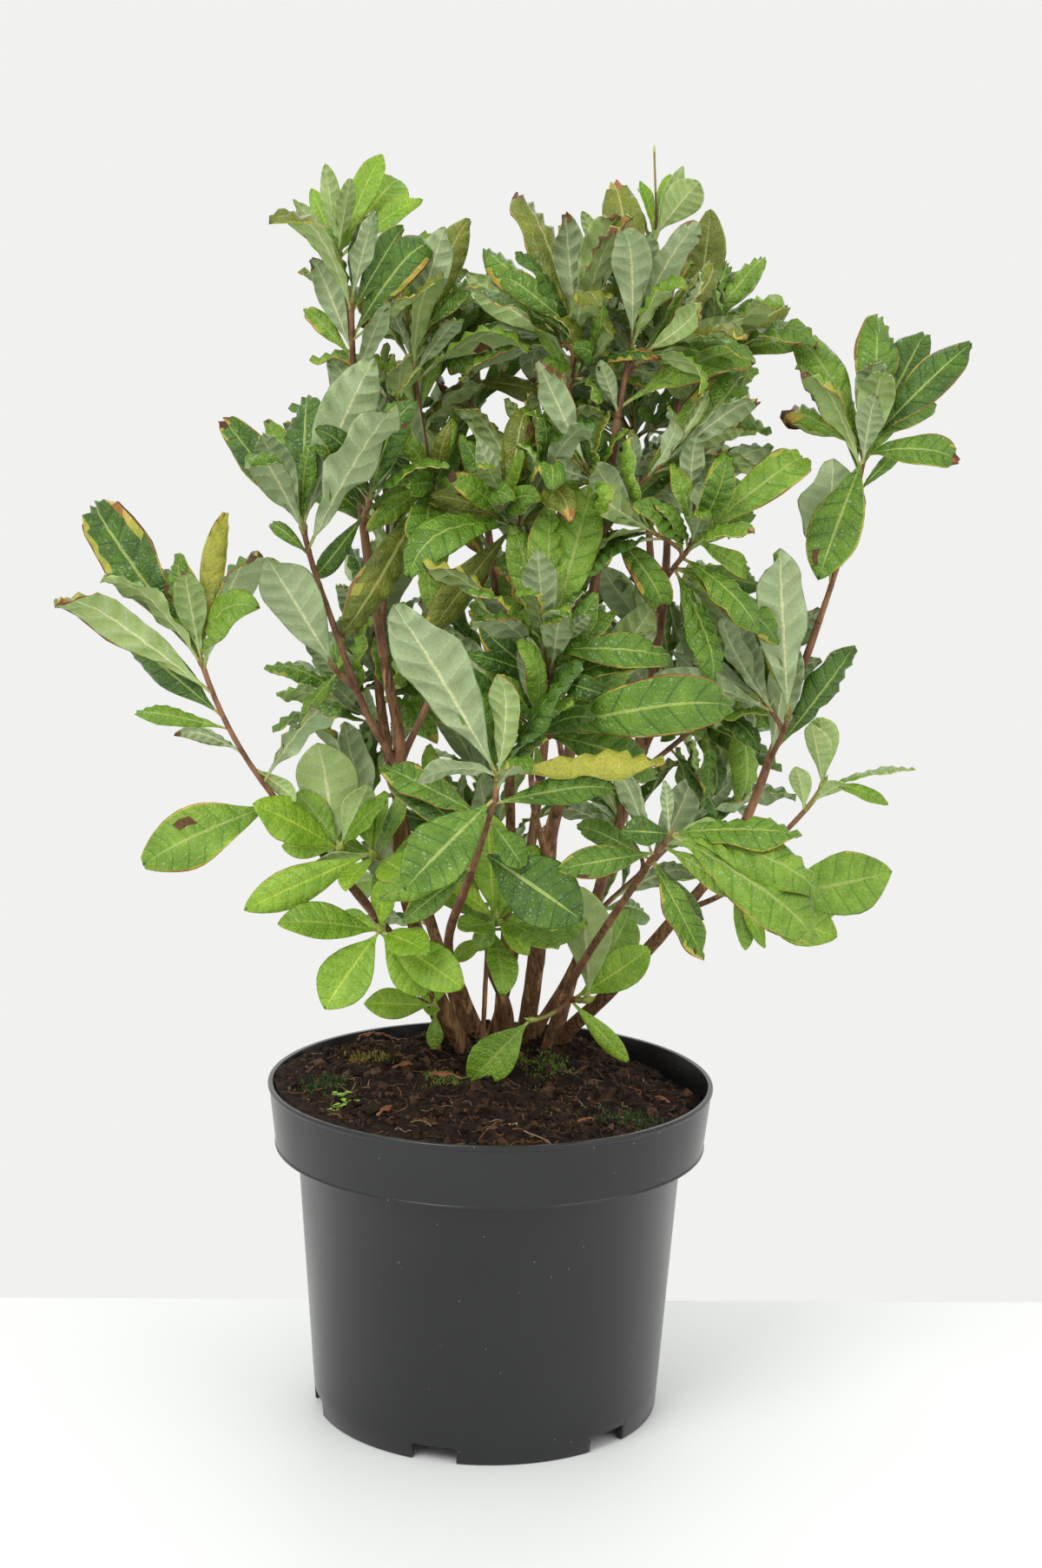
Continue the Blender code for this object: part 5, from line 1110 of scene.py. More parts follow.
MARK_TRAITS = {
    "pale": {"roll": 12, "curl": 8, "edge": 0.15, "dry": 0.0, "quilt": 1.2, "tone": "mid"},
    "withered": {"roll": 150, "curl": 150, "edge": 1.5, "dry": 0.4},
    "rolled": {"roll": 130, "curl": 60, "edge": 1.0, "dry": 0.10},
    "dry_tip": {"curl": 45, "edge": 0.60, "dry": 0.16},
    "yellow": {"roll": 115, "curl": 20, "edge": 0.90, "tone": "turning"},
    "edged": {"roll": 40, "edge": 0.78},
    "bright": {"roll": 62, "curl": 25, "edge": 0.42, "quilt": 1.5, "tone": "light"},
    "wide": {"roll": 8, "curl": 10, "edge": 0.12},
    "broad": {"roll": 6, "curl": 12, "edge": 0.30, "tone": "mid"},
    "thin": {"roll": 60, "curl": 12, "edge": 0.30},
    "narrow": {"roll": 70, "curl": 20, "edge": 0.45},
    "spotted": {"roll": 14, "curl": 25, "edge": 0.55, "spot": 0.55, "tone": "light"},
}  # degrees, shares and tones
OLD_TRAITS = {"roll": (25, 115), "curl": (0, 85), "twist": (-38, 38), "scallop": (0.0, 0.012),
              "quilt": (0.8, 1.4), "wave": (0.012, 0.042), "waves": (1.6, 3.4), "phase": (0, 1)}
YOUNG_TRAITS = {"roll": (-5, 45), "curl": (0, 30), "twist": (-20, 20), "scallop": (0.0, 0.012),
                "quilt": (0.5, 0.9), "wave": (0.005, 0.018), "waves": (1.6, 3.4), "phase": (0, 1)}


def leaf_traits(leaf):
    """How this leaf has grown and aged: its curl, waviness, tone, autumn edges and marks."""
    rng = random.Random("traits " + leaf.seed)
    old = leaf.look in (MATURE, AGED)
    ranges = OLD_TRAITS if old else YOUNG_TRAITS
    traits = {name: rng.uniform(*limits) for name, limits in ranges.items()}
    traits["tone"] = TONES[rng.choice(leaf.look.tones)]
    traits["edge"] = max(0.0, rng.gauss(leaf.look.autumn, EDGE_SPREAD))
    traits["seed"] = rng.uniform(0, PATCH_SEEDS)
    traits["dry"] = traits["spot"] = 0.0
    if old and rng.random() < OLD_ROLLED:
        traits.update(roll=rng.uniform(*ROLLED_UP), edge=ROLLED_EDGE, curl=rng.uniform(*ROLLED_CURL))
    if old and rng.random() < OLD_DRY:
        traits["dry"] = rng.uniform(*DRY_TIPS)
    if old and rng.random() < OLD_SPOTTED:
        traits["spot"] = rng.uniform(*SPOTS)
    traits.update(MARK_TRAITS.get(leaf.mark, {}))
    for name in ("roll", "curl", "twist"):
        traits[name] = math.radians(traits[name])
    return traits


def leaf_slots(places, traits):
    """The material slot of every face of one leaf."""
    tone = traits["tone"]
    under = UNDERS.get(tone, "under_green")
    spot_strip = SPOT_STRIPS[0] if traits["seed"] > PATCH_SEEDS / 2 else SPOT_STRIPS[1]
    even, patchy = EDGE_PATCHES
    at_foot, towards_tip = EDGE_GROWTH
    slots = []
    for side, row, strip in places:
        kind, strip_kind = ROWS[row][1], STRIP_KINDS[strip]
        place = PLACES[row]
        in_vein = kind == "vein" and row + 1 < len(ROWS) and ROWS[row + 1][1] == "vein"
        hand = 1 if strip > len(STRIP_KINDS) // 2 else -1
        patch = Vector((place * PATCH_LENGTH, hand * PATCH_APART, traits["seed"]))
        edge = traits["edge"] * (even + patchy * noise.noise(patch)) * (at_foot + towards_tip * place)
        edge += DRIED if place > 1 - traits["dry"] else 0.0
        strength = edge - EDGE_DEPTHS[strip_kind]
        turned = next(name for most, name in EDGE_STAGES if strength < most)
        spotted = traits["spot"] and abs(place - traits["spot"]) < SPOT_REACH and strip == spot_strip
        if kind == "stalk" and row < 2:
            name = "stalk"
        elif spotted:
            name = "spot"
        elif side == 0 and strength > EDGE_SHOWS:
            name = turned
        elif side == 0:
            # A sunk vein on the upper side takes a darker copy of its tone, painted shade, except on young
            # leaves, whose veins are paler.
            tones = RIB_TONE if strip_kind == "rib" else VEIN_SHADE_AND_TONE if in_vein else {}
            name = tones.get(tone, tone)
        elif strength > DRY_UNDER:
            name = "under_dry"
        elif strip_kind == "rib":
            name = "rib"
        else:
            name = "under_vein" if in_vein and strip_kind != "margin" else under
        slots.append(SLOT[name])
    return slots


# Finishes

def linear(colour):
    """An sRGB hex colour as the linear values that a shader takes."""
    parts = [int(colour[i:i + 2], 16) / 255 for i in (1, 3, 5)]
    return [v / 12.92 if v <= 0.04045 else ((v + 0.055) / 1.055) ** 2.4 for v in parts] + [1.0]


def add_node(tree, kind, settings=(), links=()):
    """A node with its settings, on itself or on the input of that name or number, and its links."""
    node = tree.nodes.new("ShaderNode" + kind)
    for name, value in dict(settings).items():
        if isinstance(name, int) or name in node.inputs:
            node.inputs[name].default_value = value
        else:
            setattr(node, name, value)
    for name, source in dict(links).items():
        tree.links.new(source, node.inputs[name])
    return node


def new_finish(name):
    """A bare material with its tree and the object's own coordinates."""
    material = bpy.data.materials.new(name)
    material.use_nodes = True
    tree = material.node_tree
    tree.nodes.clear()
    place = add_node(tree, "TexCoord").outputs["Object"]
    return material, tree, place


def close_finish(tree, settings, links):
    """The shader at the end of a material."""
    shader = add_node(tree, "BsdfPrincipled", settings, links)
    add_node(tree, "OutputMaterial", (), {"Surface": shader.outputs["BSDF"]})


def two_tones(tree, place, texture, levels, colour, other):
    """Noise, and the mix of two colours that follows it between two levels."""
    tint = add_node(tree, "TexNoise", texture, {"Vector": place})
    share = add_node(tree, "MapRange", {1: levels[0], 2: levels[1]}, {0: tint.outputs["Fac"]})
    mixed = add_node(tree, "Mix", {"data_type": "RGBA", 6: linear(colour), 7: linear(other)},
                     {0: share.outputs[0]})
    return tint.outputs["Fac"], mixed.outputs[2]


def flecked(tree, place, scale, levels, most, colour, ground):
    """Scattered flecks of one colour on the ground's, fading out between two distances."""
    cells = add_node(tree, "TexVoronoi", {"Scale": scale}, {"Vector": place})
    share = add_node(tree, "MapRange", {1: levels[0], 2: levels[1], 3: most, 4: 0.0},
                     {0: cells.outputs["Distance"]})
    mixed = add_node(tree, "Mix", {"data_type": "RGBA", 7: linear(colour)}, {0: share.outputs[0], 6: ground})
    return mixed.outputs[2]


def leaf_finish(name, colour, other, rough, veinlets, coarse=55.0, shade="#e3e8da"):
    """Living leaf skin: blotched between two greens, and puckered by a net of veinlets whose lines are
    darkened by the shade colour, painted shade in their creases.

    The net's cells are drawn 3 mm wide, twice the real ones, so that they show.
    """
    material, tree, place = new_finish("leaf_" + name)
    blotches = {"Scale": coarse, "Detail": 3.0}
    _, greens = two_tones(tree, place, blotches, (0.36, 0.66), colour, other)
    net = add_node(tree, "TexVoronoi", {"feature": "DISTANCE_TO_EDGE", "Scale": 330.0}, {"Vector": place})
    line = add_node(tree, "MapRange", {1: 0.0, 2: 0.22, 3: 0.0, 4: 1.0}, {0: net.outputs["Distance"]})
    # The net's lines are multiplied by the shade colour: painted shade in the veinlets' creases.
    shaded_net = add_node(tree, "Mix", {"data_type": "RGBA", "blend_type": "MULTIPLY", 7: linear(shade)},
                      {6: greens, 0: line.outputs[0]})
    bump = add_node(tree, "Bump", {"Strength": veinlets, "Distance": 0.0007}, {"Height": line.outputs[0]})
    close_finish(tree, {"Roughness": rough, "Specular IOR Level": 0.42},
                 {"Base Color": shaded_net.outputs[2], "Normal": bump.outputs[0]})
    return material


def shoot_finish():
    """This year's shoots: thin smooth reddish bark, dull, with pale corky specks."""
    material, tree, place = new_finish("young_shoot_bark")
    along = add_node(tree, "Mapping", {"Scale": (1.0, 1.0, 0.35)}, {"Vector": place}).outputs[0]
    streaks = {"Scale": 160.0, "Detail": 4.0}
    tint, bark = two_tones(tree, along, streaks, (0.38, 0.64), "#633d26", "#946846")
    skin = flecked(tree, place, 520.0, (0.10, 0.24), 0.65, "#a98d6c", bark)
    bump = add_node(tree, "Bump", {"Strength": 0.6, "Distance": 0.0004}, {"Height": tint})
    close_finish(tree, {"Roughness": 0.58}, {"Base Color": skin, "Normal": bump.outputs[0]})
    return material


def bark_finish():
    """Old wood: stringy bark that splits lengthwise and peels in pale tan strips over brown."""
    material, tree, place = new_finish("stringy_bark")
    strings = add_node(tree, "Mapping", {"Scale": (1.0, 1.0, 0.13)}, {"Vector": place})
    fine = add_node(tree, "TexNoise", {"Scale": 620.0, "Detail": 5.0, "Roughness": 0.6},
                    {"Vector": strings.outputs[0]})
    plates = add_node(tree, "TexNoise", {"Scale": 150.0, "Detail": 4.0}, {"Vector": strings.outputs[0]})
    split = add_node(tree, "MapRange", {1: 0.34, 2: 0.56}, {0: fine.outputs["Fac"]})
    peeled = add_node(tree, "MapRange", {1: 0.53, 2: 0.62}, {0: plates.outputs["Fac"]})
    old = add_node(tree, "Mix", {"data_type": "RGBA", 6: linear("#3e2c1f"), 7: linear("#7c5b3c")},
                   {0: split.outputs[0]})
    new = add_node(tree, "Mix", {"data_type": "RGBA", 6: linear("#7d5434"), 7: linear("#b18b61")},
                   {0: split.outputs[0]})
    skin = add_node(tree, "Mix", {"data_type": "RGBA"},
                    {0: peeled.outputs[0], 6: old.outputs[2], 7: new.outputs[2]})
    raised = add_node(tree, "Math", {"operation": "MULTIPLY_ADD", 1: 0.8},
                      {0: peeled.outputs[0], 2: fine.outputs["Fac"]})
    bump = add_node(tree, "Bump", {"Strength": 0.9, "Distance": 0.0009}, {"Height": raised.outputs[0]})
    close_finish(tree, {"Roughness": 0.85, "Specular IOR Level": 0.25},
                 {"Base Color": skin.outputs[2], "Normal": bump.outputs[0]})
    return material


def bud_finish(name, colour, other):
    """Bud scales: small, overlapping and faintly shiny."""
    material, tree, place = new_finish(name)
    scales = add_node(tree, "TexVoronoi", {"Scale": 380.0}, {"Vector": place})
    share = add_node(tree, "MapRange", {1: 0.1, 2: 0.75}, {0: scales.outputs["Distance"]})
    tint = add_node(tree, "Mix", {"data_type": "RGBA", 6: linear(colour), 7: linear(other)},
                    {0: share.outputs[0]})
    bump = add_node(tree, "Bump", {"Strength": 0.6, "Distance": 0.0005, "invert": True},
                    {"Height": scales.outputs["Distance"]})
    close_finish(tree, {"Roughness": 0.45}, {"Base Color": tint.outputs[2], "Normal": bump.outputs[0]})
    return material


def pot_finish():
    """Injection moulded polypropylene, black: an even satin with a fine eggshell grain and some dust."""
    material, tree, place = new_finish("black_polypropylene")
    grain = add_node(tree, "TexNoise", {"Scale": 900.0, "Detail": 2.0}, {"Vector": place})
    clouds = {"Scale": 9.0, "Detail": 3.0}
    cloud, black = two_tones(tree, place, clouds, (0.35, 0.70), "#151617", "#1d1e1f")
    dusty = flecked(tree, place, 95.0, (0.035, 0.06), 0.45, "#8c8c88", black)
    satin = add_node(tree, "MapRange", {1: 0.3, 2: 0.7, 3: 0.22, 4: 0.29}, {0: cloud})
    bump = add_node(tree, "Bump", {"Strength": 0.10, "Distance": 0.0003}, {"Height": grain.outputs["Fac"]})
    close_finish(tree, {"IOR": 1.49},
                 {"Base Color": dusty, "Roughness": satin.outputs[0], "Normal": bump.outputs[0]})
    return material


def peat_finish(name, dark, light, scale=1.0):
    """Damp peat compost: near black, flecked with brown fibre, and rough at every size."""
    material, tree, place = new_finish(name)
    grains = {"Scale": 170.0 * scale, "Detail": 8.0, "Roughness": 0.68}
    lumps, peat = two_tones(tree, place, grains, (0.44, 0.66), dark, light)
    skin = flecked(tree, place, 520.0 * scale, (0.10, 0.2), 0.5, "#5e4632", peat)
    bump = add_node(tree, "Bump", {"Strength": 1.0, "Distance": 0.0022}, {"Height": lumps})
    close_finish(tree, {"Roughness": 0.93, "Specular IOR Level": 0.2},
                 {"Base Color": skin, "Normal": bump.outputs[0]})
    return material


def litter_finish(name, colour, other, rough=0.85, size=300.0):
    """Dead or mossy scraps: two dull tints, mixed at the size of a grain."""
    material, tree, place = new_finish(name)
    tint, skin = two_tones(tree, place, {"Scale": size, "Detail": 4.0}, (0.38, 0.62), colour, other)
    bump = add_node(tree, "Bump", {"Strength": 0.5, "Distance": 0.0005}, {"Height": tint})
    close_finish(tree, {"Roughness": rough, "Specular IOR Level": 0.3},
                 {"Base Color": skin, "Normal": bump.outputs[0]})
    return material


def studio_finish():
    """The table's matt white laminate."""
    material, tree, place = new_finish("white_laminate")
    tint = add_node(tree, "TexNoise", {"Scale": 3.0, "Detail": 2.0}, {"Vector": place})
    white = add_node(tree, "Mix", {"data_type": "RGBA", 6: linear("#eceeed"), 7: linear("#f0f2f1")},
                     {0: tint.outputs["Fac"]})
    close_finish(tree, {"Roughness": 0.6}, {"Base Color": white.outputs[2]})
    return material


# Pieces

def joined(name, shapes, finishes, smooth=True):
    """One object of many small shapes, each given as points, faces and the faces' slots."""
    points, faces, slots = [], [], []
    for some_points, some_faces, some_slots in shapes:
        offset = len(points)
        points.extend(tuple(p) for p in some_points)
        faces.extend(tuple(i + offset for i in face) for face in some_faces)
        slots.extend(some_slots)
    mesh = bpy.data.meshes.new(name)
    mesh.from_pydata(points, [], faces)
    for finish in finishes:
        mesh.materials.append(finish)
    mesh.polygons.foreach_set("material_index", slots)
    mesh.polygons.foreach_set("use_smooth", [smooth] * len(faces))
    mesh.update()
    piece = bpy.data.objects.new(name, mesh)
    bpy.context.scene.collection.objects.link(piece)
    return piece


def stand_for(piece, slot, *nodes):
    """The piece takes the nodes' place and moves with the plant. The slot is not used."""
    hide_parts(*nodes)
    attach(piece, "root")


def skin_tube(path, radius_at, step, sides, relief, slot_at):
    """A closed tube along a path, its skin split into lengthwise ridges."""
    length = path_length(path)
    rings = max(3, round(length / step))
    places = (path[0].x, path[0].y, path[-1].z)
    seed = Vector([place * turn for place, turn in zip(places, BARK_SEEDS)])
    side = Vector((1, 0, 0))
    points, faces, slots = [], [], []
    for ring in range(rings + 1):
        distance = length * ring / rings
        point, _ = on_path(path, distance)
        ahead, _ = on_path(path, min(distance + step, length))
        behind, _ = on_path(path, max(distance - step, 0))
        along = (ahead - behind).normalized()
        side = (side - along * side.dot(along)).normalized()
        across = along.cross(side)
        radius = radius_at(distance)
        for i in range(sides):
            turn = 2 * math.pi * i / sides
            out = side * math.cos(turn) + across * math.sin(turn)
            lift = 0.0
            if relief:
                around = Vector((math.cos(turn) * BARK_ROUND, math.sin(turn) * BARK_ROUND,
                                 distance * BARK_ALONG)) + seed
                plate = noise.noise(around * PLATES) > PLATE_EDGE
                lift = relief * (noise.noise(around * RIDGES) + PLATE_LIFT * plate)
                lift *= min(1.0, (length - distance) / RELIEF_FADE)
            points.append(point + out * radius * (1 + lift))
    for ring in range(rings):
        for i in range(sides):
            a, b = ring * sides + i, ring * sides + (i + 1) % sides
            faces.append((a, b, b + sides, a + sides))
            slots.append(slot_at(length * (ring + 0.5) / rings, points[a]))
    faces.append(tuple(reversed(range(sides))))
    faces.append(tuple(rings * sides + i for i in range(sides)))
    return points, faces, slots + [slots[0], slots[-1]]


def limb_skin(path, radius_at):
    """A stem or bough in its bark: stringy low down and on thick wood, smooth and reddish above."""
    def slot_at(distance, point):
        patches = STRINGY_PATCHES * noise.noise(point * PATCH_FINENESS)
        aged = radius_at(distance) / MM - STRINGY_RADIUS - patches + (STRINGY_HEIGHT - point.z) * STRINGY_FALL
        return 0 if aged > 0 else 1
    return skin_tube(path, radius_at, BARK_STEP, BARK_SIDES, BARK_RELIEF, slot_at)


def twig_skin(shoot, path, first, radius):
    """A shoot in its smooth bark, with leaf scars, closed by a bud where it carries a whorl."""
    length = path_length(path)
    bud, swell = (BUD_LENGTH, BUD_SWELL) if shoot.leaves else (BARE_TIP, 1.0)
    young = shoot.look in (YOUNG, FRESH)

    def radius_at(distance):
        width = radius + (first - radius) * math.exp(-distance / TWIG_FOOT_REACH)
        share = 1 - (length - distance) / bud
        if share > 0:
            fullness = math.sin(math.pi * min(share * BUD_ARCH, 1.0))
            return width * (1 + (swell - 1) * fullness) * (1 - share**BUD_CURVE * BUD_POINT)
        return width * (1 + SCAR_SWELL * max(0.0, math.sin(distance / SCAR_STEP * math.pi)) ** SCAR_CURVE)

    def slot_at(distance, point):
        if distance > length - bud:
            return 3 if young else 2
        return 4 if young and distance > length * GREEN_FROM else 1

    return skin_tube(path, radius_at, TWIG_STEP, TWIG_SIDES, 0.0, slot_at)


def region_of(tip):
    """The part of the crown that a mass is in, so that its leaves join those near them."""
    if tip.y > BACK_FROM:
        return "back_left" if tip.x < BACK_MIDDLE else "back_right"
    if tip.x < LEFT_TO:
        return "left"
    return "right" if tip.x > RIGHT_FROM else "centre"


def build_wood(limbs, masses, paths):
    """The limbs in one piece and the shoots with their buds in another."""
    bark = [bark_finish(), shoot_finish(), bud_finish("bud_ripe", "#8d8f45", "#6f5a35"),
            bud_finish("bud_young", "#a9b552", "#8c9a42"),
            litter_finish("green_shoot_bark", "#7d8a3e", "#97794a", 0.55)]
    wood = joined("stems_and_boughs", [limb_skin(*limb) for limb in limbs.values()], bark[:2])
    stand_for(wood, "bark", *limbs)
    shapes = []
    for mass in masses:
        shapes += [twig_skin(shoot, *way) for shoot, way in zip(mass.shoots, paths[mass.name])]
    stand_for(joined("twigs_and_buds", shapes, bark), "bark", *paths)


def build_leaves(leaves, paths):
    """The leaves, in one piece for each part of the crown."""
    finishes = [leaf_finish(*skin) for skin in LEAF_SKINS.values()]
    faces, places = leaf_faces()
    regions = {}
    for name in leaves:
        first_shoot, _, _ = paths[name][0]
        regions.setdefault(region_of(first_shoot[-1]), []).append(name)
    for region, names in sorted(regions.items()):
        shapes = []
        for leaf in (leaf for name in names for leaf in leaves[name]):
            traits = leaf_traits(leaf)
            shapes.append((leaf_points(leaf, traits), faces, leaf_slots(places, traits)))
        stand_for(joined("leaves_" + region, shapes, finishes), "foliage", *names)


def grow_plant():
    """The limbs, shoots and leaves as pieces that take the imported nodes' places."""
    limbs, room = {}, Room()
    for limb in limb_rows():
        limbs[limb.name] = limb_shape(limb, limbs)
        path, radius_at = limbs[limb.name]
        room.add(limb.name, *plain_tube(path, radius_at(path_length(path) / 2), LIMB_TUBE_SIDES))
    masses = mass_rows()
    paths = {mass.name: mass_paths(mass, limbs) for mass in masses}
    masses = [add_forks(mass, paths[mass.name]) for mass in masses]
    for mass in masses:
        for path, _, radius in paths[mass.name]:
            room.add(mass.name, *plain_tube(path, radius))
    leaves = place_leaves(masses, paths, room)
    build_wood(limbs, masses, paths)
    build_leaves(leaves, paths)


# The pot and its soil

def inner_radius(height):
    """The radius of the pot's inside at this height."""
    step = RIM_HEIGHT - BAND_DEPTH
    rim, band = RIM_RADIUS - LIP_OVERHANG - WALL, BAND_FOOT_RADIUS - WALL
    return band + (rim - band) * (height - step - WALL) / (RIM_HEIGHT - step - WALL)


def raise_rings(name, profile, sides):
    """A round body: a disc extruded and resized ring by ring along a profile of radius and height."""
    bpy.ops.object.select_all(action="DESELECT")
    radius, height = profile[0]
    bpy.ops.mesh.primitive_circle_add(
        vertices=sides, radius=radius, location=(0, 0, height), fill_type="NGON")
    body = bpy.context.object
    body.name = body.data.name = name
    bpy.ops.object.transform_apply(location=True, rotation=True, scale=True)
    bpy.ops.object.mode_set(mode="EDIT")
    bpy.ops.mesh.select_all(action="SELECT")
    for (before, low), (after, high) in zip(profile, profile[1:]):
        bpy.ops.mesh.extrude_region_move(TRANSFORM_OT_translate={"value": (0, 0, high - low)})
        size = after / before
        bpy.ops.transform.resize(value=(size, size, 1), center_override=(0, 0, high))
    return body


def cut_notch(body, heading):
    """One drainage notch through the foot ring, by a rounded block."""
    out = direction(heading, 0)
    bpy.ops.object.select_all(action="DESELECT")
    turn = (0, 0, math.radians(heading))
    bpy.ops.mesh.primitive_cube_add(size=1, location=out * FOOT_RADIUS, rotation=turn)
    block = bpy.context.object
    block.scale = (NOTCH_DEPTH, NOTCH_WIDTH, NOTCH_HEIGHT * 2)
    bpy.ops.object.transform_apply(location=True, rotation=True, scale=True)
    rounded = block.modifiers.new("rounded", "BEVEL")
    rounded.width, rounded.segments = NOTCH_ROUND, 3
    bpy.ops.object.modifier_apply(modifier="rounded")
    bpy.ops.object.select_all(action="DESELECT")
    bpy.context.view_layer.objects.active = body
    body.select_set(True)
    cut = body.modifiers.new("notch", "BOOLEAN")
    cut.operation, cut.solver, cut.object = "DIFFERENCE", "EXACT", block
    bpy.ops.object.modifier_apply(modifier="notch")
    bpy.data.objects.remove(block)


def build_pot():
    """The container: foot ring, tapering body, stepped band, thin lip and hollow inside."""
    step, band, ring = RIM_HEIGHT - BAND_DEPTH, RIM_RADIUS - LIP_OVERHANG, FOOT_RADIUS - WALL
    widening = BODY_TOP_RADIUS - FOOT_RADIUS
    profile = [
        (PAD_RADIUS, 0), (PAD_RADIUS + WALL, FLOOR_UNDERSIDE), (ring - WALL, FLOOR_UNDERSIDE),
        (ring - WALL, 0), (FOOT_RADIUS - EASE, 0), (FOOT_RADIUS, FOOT_EASE),
        (FOOT_RADIUS + widening * BODY_RING / step, BODY_RING), (BODY_TOP_RADIUS, step),
        (BAND_FOOT_RADIUS - EASE, step), (BAND_FOOT_RADIUS + BEAD, step + EASE),
        (BAND_FOOT_RADIUS + BEAD, step + BEAD_TOP), (BAND_FOOT_RADIUS, step + BEAD_END),
        (band, RIM_HEIGHT - LIP_DEPTH), (RIM_RADIUS, RIM_HEIGHT - LIP_DEPTH + LIP_OVERHANG),
        (RIM_RADIUS, RIM_HEIGHT - EDGE_ROUND), (RIM_RADIUS - EASE, RIM_HEIGHT),
        (band - WALL, RIM_HEIGHT), (BAND_FOOT_RADIUS - WALL, step + WALL),
        (BODY_TOP_RADIUS - WALL, step + WALL),
        (FOOT_RADIUS + widening * FLOOR_TOP / step - WALL, FLOOR_TOP),
    ]
    pot = raise_rings("nursery_pot", profile, POT_SIDES)
    bpy.ops.mesh.select_all(action="SELECT")
    bpy.ops.mesh.normals_make_consistent(inside=False)
    bpy.ops.object.mode_set(mode="OBJECT")
    for i in range(NOTCHES):
        cut_notch(pot, FIRST_NOTCH_HEADING + 360 * i / NOTCHES)
    rounded = pot.modifiers.new("rounded", "BEVEL")
    rounded.width, rounded.segments = EDGE_ROUND, 2
    rounded.limit_method, rounded.angle_limit = "ANGLE", math.radians(ROUNDED_FROM)
    bpy.ops.object.modifier_apply(modifier="rounded")
    bpy.ops.object.shade_smooth_by_angle(angle=math.radians(SHARP_FROM))
    pot.data.materials.clear()
    pot.data.materials.append(pot_finish())
    stand_for(pot, "pot", "pot")


def soil_height(point):
    """The soil's top before its relief: level round the clump, falling evenly to the wall."""
    heading = math.atan2(point.y, point.x) - math.radians(SOIL_LOW_HEADING)
    edge = SOIL_EDGE_HEIGHT - SOIL_EDGE_SLOPE * math.cos(heading)
    flat = Vector((point.x, point.y, 0))
    away = max((flat - CLUMP).length - CLUMP_RADIUS, 0.0)
    to_wall = max(inner_radius(RIM_HEIGHT) - flat.length, 0.0)
    return GROUND + (edge - GROUND) * away / max(away + to_wall, 0.0001)


def soil_surface(point):
    """The soil's top with its lumps and hollows, which fade towards the wall."""
    flat = Vector((point.x, point.y, 0))
    lumps = sum(noise.noise(flat * fineness) * height for fineness, height in LUMPS)
    to_wall = inner_radius(RIM_HEIGHT) - flat.length
    lumps *= WALL_CALM + (1 - WALL_CALM) * min(to_wall / WALL_REACH, 1.0)
    mound = MOUND_HEIGHT * math.exp(-((flat - MOUND).length / MOUND_REACH) ** 2)
    return soil_height(flat) + mound + SOIL_RELIEF * lumps


def build_soil():
    """The peat: a plug that fills the pot, its top inset into fine rings and lifted in lumps."""
    step, inset = RIM_HEIGHT - BAND_DEPTH + WALL + SOIL_GAP, WALL + SOIL_GAP
    profile = [(FOOT_RADIUS - WALL, FLOOR_TOP + SOIL_GAP), (BODY_TOP_RADIUS - inset, step),
               (BAND_FOOT_RADIUS - inset, step),
               (inner_radius(SOIL_EDGE_HEIGHT) - SOIL_GAP, SOIL_EDGE_HEIGHT)]
    soil = raise_rings("peat", profile, SOIL_SIDES)
    for _ in range(SOIL_RINGS):
        bpy.ops.mesh.inset(thickness=SOIL_RING_STEP)
    bpy.ops.mesh.poke()
    bpy.ops.mesh.select_all(action="SELECT")
    bpy.ops.mesh.normals_make_consistent(inside=False)
    bpy.ops.object.mode_set(mode="OBJECT")
    for vertex in soil.data.vertices:
        if vertex.co.z > SOIL_EDGE_HEIGHT - MM:
            vertex.co.z = soil_surface(vertex.co)
            flat = Vector((vertex.co.x, vertex.co.y, 0))
            most = inner_radius(vertex.co.z) - SOIL_GAP
            if flat.length > most - MM:
                vertex.co.x *= most / flat.length
                vertex.co.y *= most / flat.length
    bpy.ops.object.shade_smooth()
    soil.data.materials.clear()
    soil.data.materials.append(peat_finish("peat_compost", "#1a120e", "#3d2c20"))
    stand_for(soil, "soil", "soil")


def on_soil(x, y, above=0.0):
    """The point on the soil at this place in plan, or this far above it."""
    point = Vector((x, y, 0))
    point.z = soil_surface(point) + above
    return point


def spot_on_soil(rng, most):
    """A random place on the soil, as even over its area."""
    turn, away = rng.uniform(0, 2 * math.pi), most * math.sqrt(rng.random())
    return on_soil(math.cos(turn) * away, math.sin(turn) * away)


def lump(rng, point, size, slot):
    """A crumb: an uneven eight-sided lump, half sunk."""
    corners = [Vector(corner) for corner in CRUMB_CORNERS]
    axis = Vector((rng.gauss(0, 1), rng.gauss(0, 1), 1)).normalized()
    turn = Matrix.Rotation(rng.uniform(0, 2 * math.pi), 3, axis)
    shape = Vector([rng.uniform(*limits) for limits in CRUMB_STRETCH])
    points = [point + turn @ (c * rng.uniform(*CRUMB_WAVER) * shape) * size for c in corners]
    faces = []
    for i in range(4):
        j = (i + 1) % 4
        faces += [(i, j, 6 + i), (i, 6 + i, 6 + (i + 3) % 4), (6 + i, 4, 6 + (i + 3) % 4), (j, i, 5)]
    return points, faces, [slot] * len(faces)


